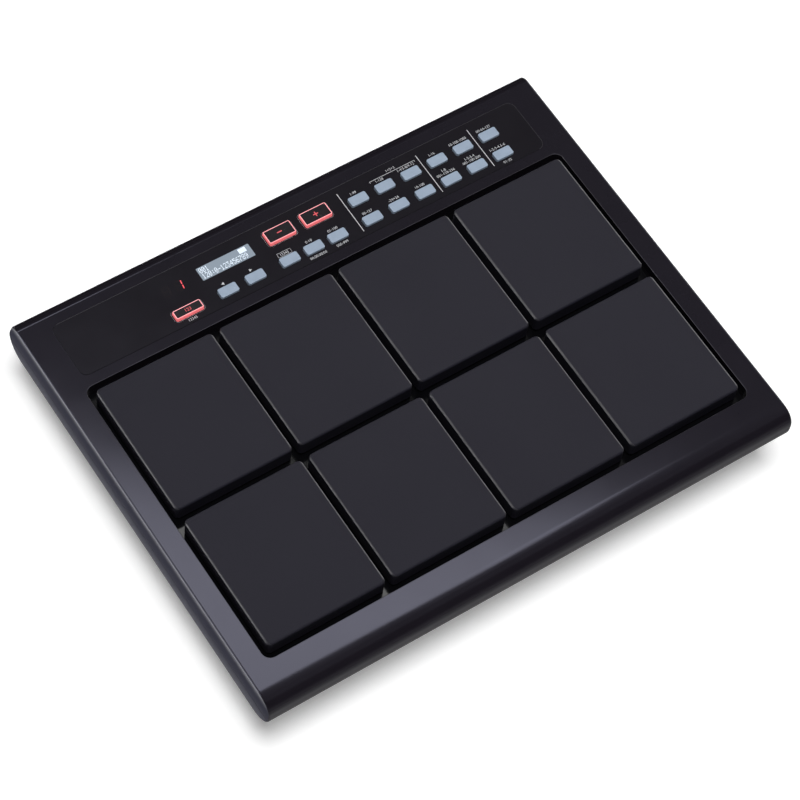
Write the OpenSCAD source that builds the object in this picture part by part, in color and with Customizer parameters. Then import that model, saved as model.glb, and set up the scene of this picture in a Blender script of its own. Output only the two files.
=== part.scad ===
// Electronic percussion pad: eight rubber pads sunk in a flat black case, with a row of
// buttons and two displays along the back and the sockets under the rear overhang.
// Millimetres. X to the right, Y to the back, Z up. The origin is on the ground under the middle.

/* [Pads] */
// Width of one pad
pad_w = 78.6; // [76:0.2:86]
// Depth of one pad
pad_d = 91.4; // [84:0.2:104]
// Height of the pad faces above the top face
pad_proud = 4; // [3:0.5:6]
// Rubber between a pad's face and its cushion
pad_face_t = 9; // [8:0.5:11]
// Corner radius of a pad
pad_r = 3; // [2:0.5:5]
// Radius of a pad's upper edge
pad_edge_r = 1.8; // [0.8:0.1:2]
// Gap between neighbours in a row of pads
pad_gap_x = 4.4; // [3.4:0.2:6]
// Gap between the two rows of pads
pad_gap_y = 7.2; // [5:0.2:10]
// Travel of a struck pad on its cushion
pad_travel = 1; // [0.5:0.1:1.4]
// Thickness of a foam cushion
cushion_t = 2; // [1.8:0.2:3]
// Thickness of a steel pad plate
plate_t = 2; // [1.8:0.2:3]
// Thickness of the rubber skirt around a plate
skirt_t = 3; // [2:0.5:5]
// Diameter of a trigger sensor
sensor_d = 27; // [20:1:35]
// Thickness of a trigger sensor
sensor_t = 0.9; // [0.5:0.1:1.3]

/* [Recess] */
// Gap between the outer pads and the recess at the sides
recess_gap_x = 4.2; // [3:0.2:6]
// Gap between the pads and the recess at the front and back
recess_gap_y = 5.6; // [4:0.2:8]
// Corner radius of the recess
recess_r = 5.5; // [4:0.5:9]
// Thickness of the bed that carries the pads
bed_t = 3; // [2.5:0.5:4]
// Depth of the ribs under the bed
bed_rib_h = 7; // [4:0.5:9]

/* [Case] */
// Wall of both plastic shells
wall = 2.5; // [2:0.1:2.8]
// Strip of top face beside the recess
side_margin = 14; // [13.5:0.5:20]
// Distance from the front edge to the recess
front_margin = 25.7; // [24:0.1:36]
// Height of the slab that the two shells make
slab_h = 30; // [29:0.5:36]
// Drop from the top face to the seam between the shells
seam_drop = 18.5; // [16:0.5:20]
// Radius of the front edge, upper half
front_top_r = 11; // [8:0.5:12]
// Radius of the front edge, lower half
front_low_r = 16; // [10:0.5:17]
// Radius of the rear edge, upper half
rear_top_r = 10; // [8:0.5:12]
// Radius of the rear edge, lower half
rear_low_r = 14; // [10:0.5:16]
// Outer diameter of the bosses and pillars that take the case screws
boss_d = 7; // [6:0.5:8]
// Distance of the outer case screws from the middle, front and rear
case_screw_x = 140; // [100:5:150]

/* [Control panel] */
// Depth of the printed overlay sheet
overlay_d = 39.1; // [38:0.1:44]
// Distance of the overlay's ends from the line of the recess sides
overlay_end = 4.1; // [2:0.1:8]
// Thickness of the overlay sheet
overlay_t = 0.5; // [0.3:0.1:0.8]
// Corner radius of the overlay sheet
overlay_r = 5; // [2:0.5:8]
// Strip of top face in front of and behind the overlay
panel_gap = 7.2; // [6:0.1:12]
// Width of a small button
key_w = 12.3; // [10:0.1:14]
// Depth of a small button
key_d = 5.5; // [4.5:0.1:7]
// Height of a small button above the top face
key_rise = 1.5; // [1:0.1:2.5]
// Corner radius of a small button
key_r = 1.2; // [0.6:0.1:2]
// Width of a large button
big_key_w = 18.4; // [16:0.1:20]
// Depth of the plus and minus buttons
big_key_d = 9.2; // [8:0.1:10]
// Depth of the mode button
mode_key_d = 5.9; // [5:0.1:7]
// Height of a large button above the top face
big_key_rise = 2.2; // [1.5:0.1:3]
// Corner radius of a large button
big_key_r = 0.9; // [0.5:0.1:2]
// Clearance around every button
key_gap = 0.3; // [0.2:0.05:0.4]
// Travel of every button
key_travel = 0.8; // [0.4:0.1:1.2]
// Lower row of buttons, from the overlay's front edge
row_low = 8.3; // [7:0.1:9]
// Upper row of small buttons, from the overlay's front edge
row_high = 24.2; // [23.5:0.1:26]
// Row of the plus and minus buttons, from the overlay's front edge
row_big = 27.5; // [25:0.1:30]
// Distance from the overlay's right end to the panel's middle, between the minus and plus buttons
panel_end = 163.9; // [160:0.1:168]
// Place of the mode button, from the panel's middle
mode_key_x = -88.2; // [-94:0.1:-86]
// Place of the left arrow button, from the panel's middle
arrow_x = -60.5; // [-61:0.1:-58]
// Step from the left arrow button to the right one
arrow_pitch = 18.9; // [16:0.1:19.5]
// Place of the first of the three edit buttons, from the panel's middle
edit_x = -17.5; // [-18:0.1:-15]
// Step between the edit buttons
edit_pitch = 17; // [15.5:0.1:17]
// Step between the minus and plus buttons
big_key_pitch = 25.7; // [23:0.1:26]
// Place of the first column of the button grid, from the panel's middle
grid_x = 41.5; // [40:0.1:46]
// Step between the columns of the button grid
grid_pitch = 19.1; // [17:0.1:19.5]
// Width of the display window
display_w = 36.5; // [30:0.1:38]
// Depth of the display window
display_d = 9.4; // [8:0.1:11]
// Place of the display, from the panel's middle
display_x = -51.2; // [-53:0.1:-50]
// Width of the digit window
digit_w = 17.7; // [14:0.1:18]
// Depth of the digit window
digit_d = 13.3; // [10:0.1:14]
// Place of the digit window, from the panel's middle
digit_x = -88.6; // [-94:0.1:-88]
// Row of both displays, from the overlay's front edge
row_display = 26.4; // [25.5:0.1:28]

/* [Base tray] */
// Depth of the tray below the slab
tray_h = 28; // [27:0.5:40]
// Steel sheet of the tray and of the rear panel
sheet_t = 1.5; // [1.2:0.1:1.8]
// Distance from the side of the body to the tray
tray_inset_x = 24; // [23:0.5:26]
// Distance from the front of the body to the tray
tray_inset_front = 40; // [36:1:60]
// Distance from the back of the body to the rear panel
tray_inset_rear = 18; // [16:0.5:30]
// Width of the flange around the tray
flange_w = 9; // [8:0.5:10]
// Height of a rubber foot
foot_h = 4; // [3:0.5:8]
// Diameter of a rubber foot
foot_d = 20; // [14:1:26]
// Spacing of the four stand inserts
mount_spacing = 75; // [60:1:100]
// Hole through a stand insert
mount_hole_d = 5; // [4:0.5:6]

/* [Rear panel] */
// Plug hole of a phone jack
jack_bore_d = 6.5; // [6.4:0.1:6.6]
// Depth of the plug hole
jack_bore_l = 28; // [24:0.5:28]
// Thread of a phone jack
jack_nose_d = 8.8; // [8.6:0.1:10]
// Distance from the side of the tray to the volume knob
volume_side = 18; // [16:0.5:20]
// Step from the volume knob to the first phone jack
jack_step = 26; // [22:0.5:28]
// Step from the last phone jack to the first round data socket
data_step = 24.5; // [20:0.5:28]
// Step between the round data sockets
data_pitch = 24; // [20:0.5:24]
// Step from the second round data socket to the square one
port_step = 20; // [18:0.5:22]
// Step from the square data socket to the power socket
power_step = 15; // [13:0.5:17]
// Step from the power socket to the power button
switch_step = 16; // [13:0.5:18]
// Distance from the side of the tray to the power button
switch_side = 15; // [12:0.5:18]
// Travel of the power button
switch_travel = 2.5; // [1.5:0.1:3]
// Diameter of the volume knob
volume_d = 15; // [12:0.5:18]
// Length of the volume knob
volume_l = 9; // [7:0.5:10]

/* [Fasteners] */
// Shank diameter of every screw
screw_d = 3; // [2.5:0.1:3.2]
// Head diameter of every screw
head_d = 5.6; // [5:0.1:6]
// Head height of every screw
head_h = 2; // [1.5:0.1:2]
// Length of a case screw
case_screw_l = 18; // [16:0.5:18]
// Length of a small screw
small_screw_l = 6; // [5.5:0.1:6]

/* [Hidden] */
$fn = 48;

pad_cols = 4;
pad_count = 8;
grid_cols = 6;
jack_count = 8;

// Clearances
seat_gap = 0.05;
slip = 0.4;
thread_gap = 0.05;
hole_gap = 0.2;
cut = 1;

// Overall sizes, worked out from the pads outwards
recess_w = pad_cols * pad_w + (pad_cols - 1) * pad_gap_x + 2 * recess_gap_x;
recess_d = 2 * pad_d + pad_gap_y + 2 * recess_gap_y;
body_w = recess_w + 2 * side_margin;
body_d = front_margin + recess_d + 2 * panel_gap + overlay_d + rear_top_r;
front_y = -body_d / 2;
back_y = body_d / 2;
recess_front = front_y + front_margin;
recess_y = recess_front + recess_d / 2;
overlay_w = recess_w - 2 * overlay_end;
overlay_front = recess_front + recess_d + panel_gap;
overlay_y = overlay_front + overlay_d / 2;

// Levels, from the ground up
tray_floor = foot_h + sheet_t;
slab_z = foot_h + tray_h;
top_z = slab_z + slab_h;
seam_z = top_z - seam_drop;
cover_low = top_z - wall;
cushion_low = top_z + pad_proud - pad_face_t - cushion_t;
bed_top = cushion_low - plate_t;
bed_low = bed_top - bed_t;
skirt_low = bed_top + pad_travel + slip;

// Buttons and the board under them
lip_t = 1;
lip_w = 1;
switch_w = 6;
switch_h = 3.5;
stem_r = 1.4;
stem_reach = 0.8;
board_t = 1.6;
lip_top = cover_low - seat_gap;
lip_low = lip_top - lip_t;
switch_top = lip_low - key_travel - slip;
panel_board_top = switch_top - switch_h;
panel_board_low = panel_board_top - board_t;
panel_board_edge = 1.5;
panel_board_end = 13;
panel_x = overlay_w / 2 - panel_end;
grid_end = grid_x + (grid_cols - 1) * grid_pitch;
panel_board_left = panel_x + digit_x - digit_w / 2 - panel_board_end;
panel_board_right = panel_x + grid_end + key_w / 2 + panel_board_end;
panel_screw_row = 15;
panel_screw_end = 10.5;
PANEL_SCREWS = [for (x = [
        (mode_key_x + big_key_w / 2 + arrow_x - key_w / 2) / 2,
        (arrow_x + arrow_pitch + edit_x) / 2,
        (edit_x + 2 * edit_pitch + grid_x) / 2,
        (grid_x + grid_end) / 2,
        grid_end + panel_screw_end
    ])
    [panel_x + x, overlay_front + panel_screw_row]];

// A button is its name, its place on the panel, its size and its rise
function small_key(name, x, row) =
    [name, panel_x + x, overlay_front + row, key_w, key_d, key_r, key_rise];
function large_key(name, x, row, d) =
    [name, panel_x + x, overlay_front + row, big_key_w, d, big_key_r, big_key_rise];
KEYS = concat(
    [
        large_key("mode_button", mode_key_x, row_low, mode_key_d),
        large_key("minus_button", -big_key_pitch / 2, row_big, big_key_d),
        large_key("plus_button", big_key_pitch / 2, row_big, big_key_d),
        small_key("left_button", arrow_x, row_low),
        small_key("right_button", arrow_x + arrow_pitch, row_low),
        small_key("shift_button", edit_x, row_low),
        small_key("exit_button", edit_x + edit_pitch, row_low),
        small_key("enter_button", edit_x + 2 * edit_pitch, row_low)
    ],
    [for (i = [0:grid_cols - 1])
        small_key(str("menu_button_", i + 1), grid_x + i * grid_pitch, row_high)],
    [for (i = [0:grid_cols - 1])
        small_key(str("menu_button_", i + 1 + grid_cols), grid_x + i * grid_pitch, row_low)]
);
LARGE_KEYS = 3;

// Case screws: sides through the bed, then front and rear
side_screw_x = (recess_w + body_w) / 4;
side_screw_end = 14;
rear_screw_y = back_y - 9.5;
front_screw_y = (front_y + recess_front) / 2;
SIDE_SCREWS = [for (x = [-1, 1], y = [-1:1])
    [x * side_screw_x, recess_y + y * (recess_d / 2 - side_screw_end)]];
END_SCREWS = [for (x = [-1:1], y = [front_screw_y, rear_screw_y]) [x * case_screw_x, y]];
screw_seat = bed_low + case_screw_l * 4 / 9 - case_screw_l;
case_screw_top = screw_seat + case_screw_l;
pillar_d = boss_d + 1;

// Tray
tray_w = body_w - 2 * tray_inset_x;
tray_front = front_y + tray_inset_front;
tray_back = back_y - tray_inset_rear;
tray_y = (tray_front + tray_back) / 2;
tray_d = tray_back - tray_front;
flange_low = slab_z - sheet_t;
flange_boss_h = 5;
FLANGE_SCREWS = concat(
    [for (x = [-1, 1], y = [-1:1]) [x * (tray_w + flange_w) / 2, tray_y + y * tray_d / 3]],
    [for (x = [-1:1]) [x * tray_w / 3, tray_front - flange_w / 2]]
);
foot_inset = foot_d / 2 + 12;
insert_r = mount_hole_d / 2 + 1.5;
insert_h = 10;
MOUNTS = [for (x = [-1, 1], y = [-1, 1])
    [x * mount_spacing / 2, recess_y + y * mount_spacing / 2]];

// Main board and what stands on it
panel_in = tray_back - sheet_t;
standoff_h = 5;
standoff_d = 7;
main_board_low = tray_floor + standoff_h;
main_board_top = main_board_low + board_t;
main_board_w = tray_w - 16;
main_board_d = 85;
main_board_back = panel_in - 1;
main_board_front = main_board_back - main_board_d;
board_edge = 6;
STANDOFFS = [for (x = [-1:1], y = [0, 1])
    [x * (main_board_w / 2 - board_edge), main_board_front + board_edge + y * 40]];
rear_flange = 10;
REAR_SCREWS = [for (x = [-1:1]) [x * 100, panel_in - rear_flange / 2]];

// Rear sockets: size of each body across, along and up, and the axis height above the board
jack_size = [11, jack_bore_l - 3, 12];
jack_nose_l = 4;
nut_flats = 12;
nut_t = 2.2;
data_size = [18, 13, 17];
data_r = 7.6;
port_size = [12, 16, 11];
port_mouth = [8.6, 9, 7.8];
power_size = [9, 13, 11];
power_r = 4.2;
switch_size = [10, 14, 10];
button_w = 7;
button_out = 5;
stem_w = 4;
volume_size = [11, 9, 12];
volume_nose_r = 3.9;
volume_nose_l = 4;
volume_shaft_r = 3;
volume_shaft_l = 8;
volume_gap = 0.5;
data_mouth_r = 6.9;
data_mouth_l = 8;
power_hole_l = 9.5;
switch_x = tray_w / 2 - switch_side;
power_x = switch_x - switch_step;
port_x = power_x - power_step;
data_x = port_x - port_step - data_pitch;
volume_x = volume_side - tray_w / 2;
jack_x = volume_x + jack_step;
jack_pitch = (data_x - data_step - jack_x) / (jack_count - 1);
JACKS = [for (i = [0:jack_count - 1]) jack_x + i * jack_pitch];
DATA = [data_x, data_x + data_pitch];

// Flat outline with round corners, centred
module rounded(w, d, r) {
    square([w - 2 * r, d], center = true);
    square([w, d - 2 * r], center = true);
    for (x = [-1, 1], y = [-1, 1])
        translate([x * (w / 2 - r), y * (d / 2 - r)])
            circle(r);
}

// Upright prism on a rounded outline, from one level to another
module block(w, d, r, low, high) {
    translate([0, 0, low])
        linear_extrude(high - low)
            rounded(w, d, r);
}

// Box centred in X, with its back at y and its foot at z
module back_box(size, y, z) {
    translate([-size[0] / 2, y - size[1], z])
        cube(size);
}

// Round bar along Y, from one place to another
module bar(r, from, to) {
    translate([0, from, 0])
        rotate([-90, 0, 0])
            cylinder(r = r, h = to - from);
}

// Side view of the slab, in Y and Z: four round edges, drawn in by an inset
module slab_outline(inset) {
    front = front_y + inset;
    back = back_y - inset;
    low = slab_z + inset;
    high = top_z - inset;
    ft = front_top_r - inset;
    fl = front_low_r - inset;
    rt = rear_top_r - inset;
    rl = rear_low_r - inset;
    polygon([
        [front, low + fl], [front + fl, low], [back - rl, low], [back, low + rl],
        [back, high - rt], [back - rt, high], [front + ft, high], [front, high - ft]
    ]);
    translate([front + ft, high - ft]) circle(ft);
    translate([front + fl, low + fl]) circle(fl);
    translate([back - rt, high - rt]) circle(rt);
    translate([back - rl, low + rl]) circle(rl);
}

// The slab itself, drawn in by an inset on every side
module slab(inset) {
    rotate([90, 0, 90])
        linear_extrude(body_w - 2 * inset, center = true)
            slab_outline(inset);
}

// Shell of the slab between two levels
module shell(low, high) {
    difference() {
        intersection() {
            slab(0);
            translate([-body_w, -body_d, low])
                cube([2 * body_w, 2 * body_d, high - low]);
        }
        slab(wall);
    }
}

// Upright pins at a list of places
module pins(places, r, low, high) {
    for (p = places)
        translate([p[0], p[1], low])
            cylinder(r = r, h = high - low);
}

// Openings of the buttons, wider than the buttons by a gap
module key_openings(gap, low, high) {
    for (key = KEYS)
        translate([key[1], key[2], 0])
            block(key[3] + 2 * gap, key[4] + 2 * gap, key[5] + gap, low, high);
}

// Something at each pad's place
function pad_place(k) = [
    (k % pad_cols - (pad_cols - 1) / 2) * (pad_w + pad_gap_x),
    recess_y + (k < pad_cols ? 1 : -1) * (pad_d + pad_gap_y) / 2,
    0
];
module at_pads() {
    for (k = [0:pad_count - 1])
        translate(pad_place(k))
            children();
}

// Upper shell, with the recess walls and the screw bosses that hang inside it
module top_cover() {
    color("#1c1c1f")
    difference() {
        union() {
            shell(seam_z, top_z);
            translate([0, recess_y, 0])
                block(recess_w + 2 * wall, recess_d + 2 * wall, recess_r + wall, bed_top, top_z - wall / 2);
            intersection() {
                slab(wall / 2);
                union() {
                    pins(SIDE_SCREWS, boss_d / 2, bed_top, top_z);
                    pins(END_SCREWS, boss_d / 2, bed_low, top_z);
                    pins(PANEL_SCREWS, boss_d / 2 - 0.5, panel_board_top, top_z);
                }
            }
        }
        translate([0, recess_y, 0])
            block(recess_w, recess_d, recess_r, slab_z, top_z + cut);
        translate([0, overlay_y, 0])
            block(overlay_w + hole_gap, overlay_d + hole_gap, overlay_r, top_z - overlay_t, top_z + cut);
        key_openings(key_gap, cover_low - cut, top_z + cut);
        translate([panel_x + display_x, overlay_front + row_display, 0])
            block(display_w + 2 * hole_gap, display_d + 2 * hole_gap, 1, cover_low - cut, top_z);
        translate([panel_x + digit_x, overlay_front + row_display, 0])
            block(digit_w + 2 * hole_gap, digit_d + 2 * hole_gap, 1, cover_low - cut, top_z);
        pins(concat(SIDE_SCREWS, END_SCREWS), screw_d / 2 + thread_gap, bed_low - cut,
            case_screw_top + slip);
        pins(PANEL_SCREWS, screw_d / 2 + thread_gap, panel_board_low,
            panel_board_low + small_screw_l + slip);
    }
}

// Lower shell, open over the tray, with the pillars that clamp the bed from below
module lower_case() {
    color("#19191b")
    difference() {
        union() {
            shell(slab_z, seam_z);
            intersection() {
                slab(wall / 2);
                union() {
                    pins(concat(SIDE_SCREWS, END_SCREWS), pillar_d / 2, slab_z, bed_low);
                    pins(FLANGE_SCREWS, boss_d / 2, slab_z, slab_z + wall + flange_boss_h);
                }
            }
        }
        translate([-tray_w / 2 + sheet_t, tray_front + sheet_t, slab_z - cut])
            cube([tray_w - 2 * sheet_t, tray_d - 2 * sheet_t, wall + 2 * cut]);
        pins(concat(SIDE_SCREWS, END_SCREWS), screw_d / 2 + hole_gap, slab_z - cut, bed_low + cut);
        pins(concat(SIDE_SCREWS, END_SCREWS), head_d / 2 + slip, slab_z - cut, screw_seat);
        pins(FLANGE_SCREWS, screw_d / 2 + thread_gap, slab_z - cut, flange_low + small_screw_l + slip);
    }
}

// Folded steel tray under the slab, open at the back, with a flange and board standoffs
module base_tray() {
    color("#2a2b2e")
    difference() {
        union() {
            difference() {
                translate([-tray_w / 2, tray_front, foot_h])
                    cube([tray_w, tray_d, tray_h]);
                translate([-tray_w / 2 + sheet_t, tray_front + sheet_t, tray_floor])
                    cube([tray_w - 2 * sheet_t, tray_d, tray_h]);
            }
            difference() {
                translate([-tray_w / 2 - flange_w, tray_front - flange_w, flange_low])
                    cube([tray_w + 2 * flange_w, tray_d + flange_w, sheet_t]);
                translate([-tray_w / 2 + sheet_t, tray_front + sheet_t, flange_low - cut])
                    cube([tray_w - 2 * sheet_t, tray_d, sheet_t + 2 * cut]);
            }
            pins(STANDOFFS, standoff_d / 2, foot_h + sheet_t / 2, main_board_low);
        }
        pins(FLANGE_SCREWS, screw_d / 2 + hole_gap, flange_low - cut, slab_z + cut);
        pins(REAR_SCREWS, screw_d / 2 + hole_gap, foot_h - cut, tray_floor + cut);
        pins(MOUNTS, insert_r + thread_gap, foot_h - cut, tray_floor + cut);
        pins(STANDOFFS, screw_d / 2 + thread_gap, main_board_top - small_screw_l - slip / 2,
            main_board_low + cut);
    }
}

// Steel plate that closes the tray at the back and holds the sockets
module rear_panel() {
    plate_w = tray_w - 2 * sheet_t - hole_gap;
    color("#2a2b2e")
    difference() {
        union() {
            translate([-plate_w / 2, panel_in, tray_floor])
                cube([plate_w, sheet_t, slab_z - tray_floor]);
            translate([-plate_w / 2, panel_in - rear_flange, tray_floor])
                cube([plate_w, rear_flange + sheet_t / 2, sheet_t]);
        }
        pins(REAR_SCREWS, screw_d / 2 + thread_gap, foot_h, tray_floor + 2 * sheet_t);
        for (x = JACKS)
            translate([x, 0, main_board_top + jack_size[2] / 2])
                bar(jack_nose_d / 2 + hole_gap, panel_in - cut, tray_back + cut);
        for (x = DATA)
            translate([x, 0, main_board_top + data_size[2] / 2])
                bar(data_r + hole_gap, panel_in - cut, tray_back + cut);
        translate([port_x, 0, 0])
            back_box([port_size[0] - 1 + 2 * hole_gap, sheet_t + 2 * cut, port_size[2] - 1 + 2 * hole_gap],
                tray_back + cut, main_board_top + 0.5 - hole_gap);
        translate([power_x, 0, main_board_top + power_size[2] / 2])
            bar(power_r + hole_gap, panel_in - cut, tray_back + cut);
        translate([switch_x, 0, 0])
            back_box([button_w + 2 * key_gap, sheet_t + 2 * cut, button_w + 2 * key_gap],
                tray_back + cut, main_board_top + (switch_size[2] - button_w) / 2 - key_gap);
        translate([volume_x, 0, main_board_top + volume_size[2] / 2])
            bar(volume_nose_r + hole_gap, panel_in - cut, tray_back + cut);
    }
}

// Printed sheet let into the top cover, cut out for the buttons
module control_overlay() {
    color("#16161a")
    difference() {
        translate([0, overlay_y, 0])
            block(overlay_w, overlay_d, overlay_r, top_z - overlay_t, top_z);
        key_openings(key_gap, top_z - overlay_t - cut, top_z + cut);
    }
}

// Stiff plate that closes the recess from below, with ribs and a pocket for each sensor
module pad_bed() {
    bed_w = body_w - 2 * wall - 3;
    bed_d = recess_d + 2 * wall + 4;
    rib_t = 2;
    color("#101012")
    difference() {
        union() {
            translate([-bed_w / 2, recess_y - bed_d / 2, bed_low])
                cube([bed_w, bed_d, bed_t]);
            for (x = [-1:1])
                translate([x * (pad_w + pad_gap_x) - rib_t / 2, recess_y - recess_d / 2, bed_low - bed_rib_h])
                    cube([rib_t, recess_d, bed_rib_h + bed_t / 2]);
            translate([-recess_w / 2, recess_y - rib_t / 2, bed_low - bed_rib_h])
                cube([recess_w, rib_t, bed_rib_h + bed_t / 2]);
        }
        at_pads()
            translate([0, 0, bed_top - sensor_t - slip])
                cylinder(r = sensor_d / 2 + 1, h = bed_t);
        pins(SIDE_SCREWS, screw_d / 2 + hole_gap, bed_low - cut, bed_top + cut);
    }
}

// Steel plates on the bed, one inside each pad's skirt
module pad_plates() {
    color("#9a9da2")
    at_pads()
        block(pad_w - 2 * skirt_t - 2 * slip, pad_d - 2 * skirt_t - 2 * slip, 1, bed_top, cushion_low);
}

// Foam between each plate and its pad
module pad_cushions() {
    color("#4a4a50")
    at_pads()
        block(pad_w - 2 * skirt_t - 2 * slip, pad_d - 2 * skirt_t - 2 * slip, 1,
            cushion_low, cushion_low + cushion_t - seat_gap);
}

// Discs bonded under the plates, which turn a stroke into a signal
module trigger_sensors() {
    color("#c8a24a")
    at_pads()
        translate([0, 0, bed_top - sensor_t])
            cylinder(r = sensor_d / 2, h = sensor_t);
}

// Upright outline of a pad, in width and height, with its two upper edges rounded
module pad_outline(w) {
    high = top_z + pad_proud;
    translate([-w / 2, skirt_low])
        square([w, high - pad_edge_r - skirt_low]);
    translate([-w / 2 + pad_edge_r, skirt_low])
        square([w - 2 * pad_edge_r, high - skirt_low]);
    for (x = [-1, 1])
        translate([x * (w / 2 - pad_edge_r), high - pad_edge_r])
            circle(pad_edge_r);
}

// Rubber pad: a thick face with rounded edges, and a skirt around its plate
module pad(k) {
    color("#2e2f33")
    translate(pad_place(k))
        difference() {
            intersection() {
                block(pad_w, pad_d, pad_r, skirt_low, top_z + pad_proud);
                rotate([90, 0, 90])
                    linear_extrude(pad_w + 2 * cut, center = true)
                        pad_outline(pad_d);
                rotate([90, 0, 0])
                    linear_extrude(pad_d + 2 * cut, center = true)
                        pad_outline(pad_w);
            }
            block(pad_w - 2 * skirt_t, pad_d - 2 * skirt_t, 1, skirt_low - cut, cushion_low + cushion_t);
        }
}

// Cap with a lip that stops it under the cover and a stem that works its switch
module key(k) {
    key = KEYS[k];
    color(k < LARGE_KEYS ? "#d8443e" : "#a8b4c2")
    translate([key[1], key[2], 0]) {
        block(key[3], key[4], key[5], lip_low, top_z + key[6]);
        block(key[3] + 2 * lip_w, key[4] + 2 * lip_w, key[5], lip_low, lip_top);
        translate([0, 0, switch_top - stem_reach])
            cylinder(r = stem_r, h = lip_low + lip_t / 2 - switch_top + stem_reach);
    }
}

// Board under the control panel, screwed to the cover's bosses
module panel_board() {
    color("#1f5a36")
    difference() {
        translate([panel_board_left, overlay_front + panel_board_edge, panel_board_low])
            cube([panel_board_right - panel_board_left, overlay_d - 2 * panel_board_edge, board_t]);
        pins(PANEL_SCREWS, screw_d / 2 + hole_gap, panel_board_low - cut, panel_board_top + cut);
    }
}

// One switch under each button, with a well for the button's stem
module tact_switches() {
    color("#333333")
    for (key = KEYS)
        translate([key[1], key[2], 0])
            difference() {
                translate([-switch_w / 2, -switch_w / 2, panel_board_top])
                    cube([switch_w, switch_w, switch_h]);
                translate([0, 0, switch_top - stem_reach - key_travel - slip])
                    cylinder(r = stem_r + slip, h = switch_h);
            }
}

// Frame on the panel board with a raised face that fills its window
module window_module(x, w, d) {
    rim = 3;
    translate([panel_x + x, overlay_front + row_display, 0]) {
        block(w + 2 * rim, d + rim, 1, panel_board_top, cover_low - hole_gap);
        block(w, d, 0.8, panel_board_top, top_z - overlay_t - seat_gap);
    }
}
module display_module() {
    color("#96a3af")
        window_module(display_x, display_w, display_d);
}
module digit_module() {
    color("#241618")
        window_module(digit_x, digit_w, digit_d);
}

// Main board on the tray's standoffs
module main_board() {
    color("#1f5a36")
    difference() {
        translate([-main_board_w / 2, main_board_front, main_board_low])
            cube([main_board_w, main_board_d, board_t]);
        pins(STANDOFFS, screw_d / 2 + hole_gap, main_board_low - cut, main_board_top + cut);
    }
}

// Flat cable that bows gently from the panel board down to the main board
module panel_ribbon() {
    ribbon_w = 25;
    ribbon_t = 1;
    ribbon_row = 5;
    bow = 9;
    steps = 16;
    length = panel_board_low - main_board_top;
    middle = [for (i = [0:steps]) [
        overlay_front + ribbon_row - bow * sin(180 * i / steps),
        main_board_top + length * i / steps
    ]];
    color("#8d9096")
    translate([panel_x + grid_x, 0, 0])
        rotate([90, 0, 90])
            linear_extrude(ribbon_w, center = true)
                polygon(concat(
                    [for (p = middle) [p[0] - ribbon_t / 2, p[1]]],
                    [for (i = [steps:-1:0]) [middle[i][0] + ribbon_t / 2, middle[i][1]]]
                ));
}

// Phone jacks on the main board, with a threaded nose through the rear panel
module phone_jacks() {
    color("#26272b")
    for (x = JACKS)
        translate([x, 0, 0])
            difference() {
                union() {
                    back_box(jack_size, panel_in, main_board_top);
                    translate([0, 0, main_board_top + jack_size[2] / 2])
                        bar(jack_nose_d / 2, panel_in - cut, tray_back + jack_nose_l);
                }
                translate([0, 0, main_board_top + jack_size[2] / 2])
                    bar(jack_bore_d / 2, tray_back + jack_nose_l - jack_bore_l, tray_back + jack_nose_l + cut);
            }
}

// Hexagon nuts that hold the jacks to the rear panel
module jack_nuts() {
    color("#b8bbc0")
    for (x = JACKS)
        translate([x, tray_back, main_board_top + jack_size[2] / 2])
            rotate([-90, 0, 0])
                difference() {
                    cylinder(r = nut_flats / sqrt(3), h = nut_t, $fn = 6);
                    translate([0, 0, -cut])
                        cylinder(r = jack_nose_d / 2 + thread_gap, h = nut_t + 2 * cut);
                }
}

// Round data sockets, each with a mouth for the plug's shell
module data_sockets() {
    color("#1d1d20")
    for (x = DATA)
        translate([x, 0, 0])
            difference() {
                union() {
                    back_box(data_size, panel_in, main_board_top);
                    translate([0, 0, main_board_top + data_size[2] / 2])
                        bar(data_r, panel_in - cut, tray_back + cut);
                }
                translate([0, 0, main_board_top + data_size[2] / 2])
                    bar(data_mouth_r, tray_back + cut - data_mouth_l, tray_back + 2 * cut);
            }
}

// Cores that stand in the mouths of the data sockets, with five pin holes each
module data_cores() {
    core_gap = 1.3;
    pin_r = 0.75;
    pin_ring = 3.8;
    foot = tray_back + cut - data_mouth_l;
    color("#26262a")
    for (x = DATA)
        translate([x, 0, main_board_top + data_size[2] / 2])
            difference() {
                bar(data_mouth_r - core_gap, foot, tray_back + cut);
                for (a = [-90:45:90])
                    translate([pin_ring * sin(a), 0, -pin_ring * cos(a)])
                        bar(pin_r, foot + cut, tray_back + 2 * cut);
            }
}

// Square data socket with its tongue
module data_port() {
    tongue = [5.6, 8, 3.2];
    mouth_z = main_board_top + (port_size[2] - port_mouth[2]) / 2;
    color("#a9adb3")
    translate([port_x, 0, 0]) {
        difference() {
            union() {
                back_box(port_size, panel_in, main_board_top);
                back_box([port_size[0] - 1, sheet_t + cut, port_size[2] - 1], tray_back, main_board_top + 0.5);
            }
            back_box([port_mouth[0], port_mouth[1] + cut, port_mouth[2]], tray_back + cut, mouth_z);
        }
        back_box([tongue[0], tongue[1] + cut, tongue[2]], tray_back - port_mouth[1] + tongue[1],
            mouth_z + (port_mouth[2] - tongue[2]) / 2);
    }
}

// Power socket with a round hole
module power_socket() {
    hole_r = 3.1;
    color("#1d1d20")
    translate([power_x, 0, 0])
        difference() {
            union() {
                back_box(power_size, panel_in, main_board_top);
                translate([0, 0, main_board_top + power_size[2] / 2])
                    bar(power_r, panel_in - cut, tray_back + cut);
            }
            translate([0, 0, main_board_top + power_size[2] / 2])
                bar(hole_r, tray_back + cut - power_hole_l, tray_back + 2 * cut);
        }
}

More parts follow.
